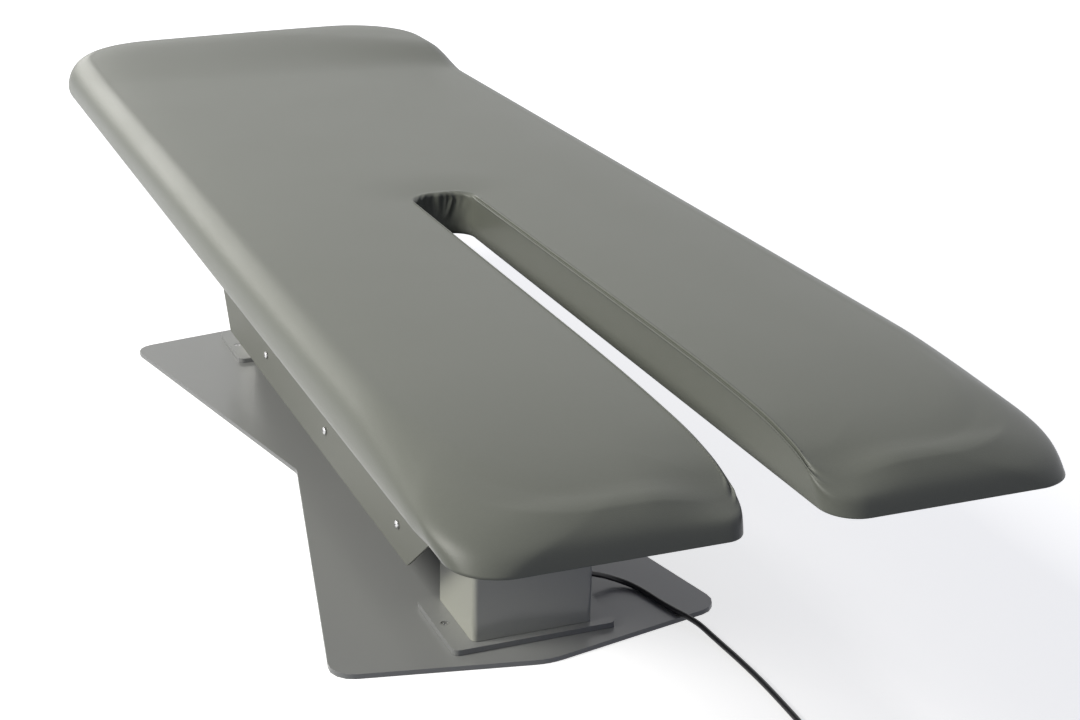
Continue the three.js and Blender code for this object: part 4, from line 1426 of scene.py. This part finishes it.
    def seam(self, offset: float) -> float:
        """Height of the sewn edge at a distance across it: a groove between two soft ridges.

        Args:
            offset: the distance from the seam.

        Returns:
            The height over the plain edge.
        """
        groove, groove_width = self.seam_groove
        ridge, ridge_offset, ridge_width = self.seam_ridges
        row, row_width = self.seam_rows
        return (groove * hump(offset, groove_width) + ridge * hump(abs(offset) - ridge_offset, ridge_width)
                + row * hump(abs(offset) - self.stitch_offset, row_width))

    def seam_share(self, y: float) -> float:
        """How much of the seam there is at a place along the slot: none round its closed end.

        Args:
            y: the place along the table.

        Returns:
            A share from 0 to 1.
        """
        before, run = self.seam_stop
        slot_y = self.slot_length - self.length / 2
        return 1 - ease((y - slot_y + before) / run)

    def gathers(self, place: Vector, wall_share: float) -> float:
        """Depth of the pleats at the slot's closed end.

        Args:
            place: the point of the wall.
            wall_share: 1 at the top of the wall.

        Returns:
            How far the wall stands out or in there.
        """
        slot_y = self.slot_length - self.length / 2
        before, run = self.fold_start
        near_end = ease((place.y - slot_y + before) / run)
        drop = (1 - wall_share) * self.fold_drop
        depth = 0.0
        for centre, slant, width, strength in self.folds:
            depth += strength * hump(place.x - centre - slant * drop, width + drop * self.fold_growth)
        fade = ease(wall_share / 0.8) * 0.8 + 0.2 * ease(wall_share / 0.25)
        return self.fold_depth * near_end * fade * (depth - self.fold_balance)

    def round_noses(self, rings: list[list[bmesh.types.BMVert]]) -> None:
        """Rounds the leg ends from their lower edge up, by evening out neighbouring rings.

        Args:
            rings: the vertices of every ring, which are moved.
        """
        first, last = self.nose_rings
        for index in range(len(rings[0])):
            column = [ring[index].co for ring in rings]
            share = 1 - ease((column[first].y + self.length / 2) / self.nose_reach)
            if share <= 0:
                continue
            for _ in range(self.nose_rounds):
                middles = [(column[step - 1] + column[step + 1]) / 2 for step in range(first, last)]
                for step, middle in zip(range(first, last), middles):
                    column[step] = column[step].lerp(middle, share * 0.5)
            for ring, place in zip(rings, column):
                ring[index].co = place

    def form(self) -> bpy.types.Object:
        """Builds the closed cover with its seams and gathers.

        Returns:
            The cover.
        """
        mesh = bmesh.new()
        rings: list[list[bmesh.types.BMVert]] = []
        facts: list[tuple[bmesh.types.BMVert, Level, float]] = []
        for level in self.levels():
            ring = []
            for point, slot in self.ring(level):
                vert = mesh.verts.new(point)
                ring.append(vert)
                facts.append((vert, level, slot))
            rings.append(ring)
        self.round_noses(rings)
        for lower, upper in zip(rings, rings[1:]):
            for index, vert in enumerate(lower):
                after = (index + 1) % len(lower)
                mesh.faces.new((vert, lower[after], upper[after], upper[index]))
        self.fill(mesh, rings[-1], True)
        self.fill(mesh, rings[0], False)
        mesh.normal_update()
        moves = []
        fade_start, fade_run = self.seam_fade
        for vert, level, slot in facts:
            if slot <= 0 or level.low is not None:
                continue
            move = 0.0
            if level.seam_offset < NO_SEAM:
                fade = ease((slot - fade_start) / fade_run)
                move += self.seam(level.seam_offset) * self.seam_share(vert.co.y) * fade
            if level.wall_share > 0:
                move += self.gathers(vert.co, level.wall_share) * slot
            moves.append((vert, vert.normal * move))
        for vert, move in moves:
            vert.co += move
        self.rings = [[vert.co.copy() for vert in ring] for ring in rings]
        data = bpy.data.meshes.new("cushion_cover")
        mesh.to_mesh(data)
        mesh.free()
        cover = new_mesh_object("cushion_cover", data)
        select_only(cover)
        bpy.ops.object.shade_smooth()
        return cover

    def stitch_line(self, offset: float) -> list[tuple[Vector, Vector] | None]:
        """The line of a row of stitches on both legs.

        Args:
            offset: the row's distance from the seam.

        Returns:
            The points with the surface's normals there, and None where no stitch lies.
        """
        levels = self.levels()
        index = min(range(len(levels)), key=lambda number: abs(levels[number].seam_offset - offset))
        below, row, above = self.rings[index - 1], self.rings[index], self.rings[index + 1]
        found: list[tuple[Vector, Vector] | None] = []
        slot_y = self.slot_length - self.length / 2
        for step, (point, slot) in enumerate(self.ring(levels[index])):
            if slot < 1 or point.y > slot_y - self.stitch_stop:
                found.append(None)
                continue
            ahead = row[(step + 1) % len(row)] - row[step - 1]
            normal = ahead.cross(above[step] - below[step]).normalized()
            found.append((row[step], normal))
        return found

    def stitches(self) -> bpy.types.Object:
        """Makes the rows of stitches along the slot's seam as one piece.

        Returns:
            The stitches.
        """
        radius, length = self.stitch_radius, self.stitch_length
        pattern = drawn_out("stitch", ((radius * 0.4, -length / 2), (radius, -length * 0.3),
                                       (radius, length * 0.3), (radius * 0.4, length / 2)), 6)
        corners = [vert.co.copy() for vert in pattern.data.vertices]
        sides = [tuple(face.vertices) for face in pattern.data.polygons]
        discard(pattern)
        verts: list[Vector] = []
        faces: list[tuple[int, ...]] = []
        for offset in (-self.stitch_offset, self.stitch_offset):
            line = self.stitch_line(offset)
            travelled = 0.0
            for here, there in zip(line, line[1:]):
                if here is None or there is None:
                    continue
                run = there[0] - here[0]
                while travelled < run.length:
                    along = run.normalized()
                    up = here[1].lerp(there[1], travelled / run.length).normalized()
                    side = up.cross(along).normalized()
                    centre = here[0] + along * travelled + up * radius * 0.3
                    first = len(verts)
                    verts += [centre + side * c.x + up * c.y + along * c.z for c in corners]
                    faces += [tuple(first + index for index in face) for face in sides]
                    travelled += self.stitch_pitch
                travelled -= run.length
        data = bpy.data.meshes.new("slot_stitches")
        data.from_pydata(verts, [], faces)
        data.update()
        piece = new_mesh_object("slot_stitches", data)
        select_only(piece)
        bpy.ops.object.shade_smooth()
        return piece

    def build(self) -> None:
        cover = self.form()
        dress(cover, Surface.VINYL)
        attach(cover, "top")
        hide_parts("cushion")
        thread = self.stitches()
        dress(thread, Surface.THREAD)
        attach(thread, "top")
        log.info("cushion cover %d faces, stitches %d faces", len(cover.data.polygons),
                 len(thread.data.polygons))


@dataclass
class Steelwork:
    """The steel pieces with their edges broken, each in place of its node."""

    edge_breaks: dict[str, float] = field(default_factory=lambda: {
        "base_plate": 0.0008, "near_foot": 0.0008, "far_foot": 0.0008, "near_outer_tube": 0.0005,
        "far_outer_tube": 0.0005, "near_middle_tube": 0.0004, "far_middle_tube": 0.0004,
        "near_inner_tube": 0.0004, "far_inner_tube": 0.0004, "near_head_plate": 0.0006,
        "far_head_plate": 0.0006, "near_saddle_plate": 0.0008, "middle_bearer": 0.0007, "far_bearer": 0.0007,
        "left_rail": 0.0004, "right_rail": 0.0004, "left_side_plate": 0.0004, "right_side_plate": 0.0004,
        "control_box": 0.0015, "near_motor": 0.001, "far_motor": 0.001, "near_gearbox": 0.0015,
        "far_gearbox": 0.0015, "deck_board": 0.0012})

    merge_distance: float = 0.00001
    flat_angle: float = 0.3
    sharp_angle: float = 34.0

    def finished(self, node: Node, width: float) -> bpy.types.Object:
        """A merged copy of a node with its sharp edges broken.

        Args:
            node: the frame's node.
            width: how wide the broken edge is.

        Returns:
            The finished copy.
        """
        source = frame["nodes"][node.name]
        piece = new_mesh_object(f"{node.name}_finished", source.data.copy())
        select_only(piece)
        bpy.ops.object.mode_set(mode="EDIT")
        bpy.ops.mesh.select_all(action="SELECT")
        bpy.ops.mesh.remove_doubles(threshold=self.merge_distance)
        bpy.ops.mesh.dissolve_limited(angle_limit=math.radians(self.flat_angle))
        bpy.ops.object.mode_set(mode="OBJECT")
        modify(piece, "BEVEL", width=width, segments=2, limit_method="ANGLE",
               angle_limit=math.radians(self.sharp_angle), use_clamp_overlap=True)
        smooth(piece)
        return piece

    def build(self, finishes: dict[str, Surface]) -> None:
        """Finishes every listed node.

        Args:
            finishes: the finish of each material slot.
        """
        for name, width in self.edge_breaks.items():
            node = Node(name)
            piece = self.finished(node, width)
            node.stand_in(piece, finishes[node.slot()])
        log.info("broke the edges of %d pieces", len(self.edge_breaks))


@dataclass
class SideScrews:
    """Pan-head screws with a crossed recess, through the side plates."""

    head: float = 0.00525
    head_height: float = 0.0036
    shank: float = 0.0025
    shank_length: float = 0.014
    recess_width: float = 0.0011
    recess_reach: float = 0.0027
    recess_depth: float = 0.0016
    dome: tuple[tuple[float, float], ...] = ((1.0, 0.42), (0.95, 0.62), (0.82, 0.8), (0.6, 0.93), (0.3, 1.0))
    first_turn: float = 0.4
    turn_step: float = 0.9

    def pattern(self) -> bpy.types.Object:
        """One screw on +Z, its head's underside at the origin's height.

        Returns:
            The screw.
        """
        top, head = self.head_height, self.head
        screw = drawn_out("side_screw", (
            (self.shank, -self.shank_length), (self.shank, 0.0), (head, 0.00005),
            *((head * across, top * up) for across, up in self.dome)), 32)
        for turn in (0.0, math.pi / 2):
            bar = block("screw_recess", (self.recess_width, 2 * self.recess_reach, 2 * self.recess_depth),
                        (0, 0, top), turn)
            modify(screw, "BOOLEAN", operation="DIFFERENCE", object=bar, solver="EXACT")
            discard(bar)
        smooth(screw, 40.0)
        return screw

    def build(self) -> None:
        """Puts a copy in place of each side screw."""
        pattern = self.pattern()
        for side, label in ((-1, "left"), (1, "right")):
            for number, place in enumerate(("near", "middle", "far")):
                node = Node(f"{label}_{place}_side_screw")
                low, high, middle = box_of(node.name)
                seat = low.x + self.head_height if side < 0 else high.x - self.head_height
                turn = (Matrix.Rotation(side * math.pi / 2, 3, "Y")
                        @ Matrix.Rotation(self.first_turn + self.turn_step * number, 3, "Z"))
                screw = copy_of(pattern, f"{node.name}_finished", turn, (seat, middle.y, middle.z))
                node.stand_in(screw, Surface.BRIGHT_STEEL)
        discard(pattern)
        log.info("side screws in place")


@dataclass
class Frame:
    """The steel base, columns and hidden frame: the frame's own nodes in their finishes."""

    finishes: dict[str, Surface] = field(default_factory=lambda: {
        "vinyl": Surface.VINYL, "plywood": Surface.PLYWOOD, "plate_paint": Surface.PLATE_PAINT,
        "column_paint": Surface.COLUMN_PAINT, "panel_paint": Surface.PANEL_PAINT,
        "frame_paint": Surface.FRAME_PAINT, "bright_steel": Surface.BRIGHT_STEEL,
        "cast_aluminium": Surface.CAST_ALUMINIUM, "black_plastic": Surface.BLACK_PLASTIC,
        "glide_plastic": Surface.GLIDE_PLASTIC, "cord_rubber": Surface.CORD_RUBBER})

    def build(self) -> None:
        """Dresses every node by its slot."""
        for part in frame["record"]["subparts"]:
            dress(frame["nodes"][part["node"]], self.finishes[part["material_slot"]])


def main() -> None:
    """Builds the camera, the dressed frame, the finished pieces and the studio."""
    logging.basicConfig(level=logging.INFO, format="%(message)s")
    studio = Studio()
    studio.camera()
    table = Frame()
    table.build()
    MainsLead().build()
    Cushion().build()
    Steelwork().build(table.finishes)
    SideScrews().build()
    studio.build()


if __name__ == "__main__":
    main()
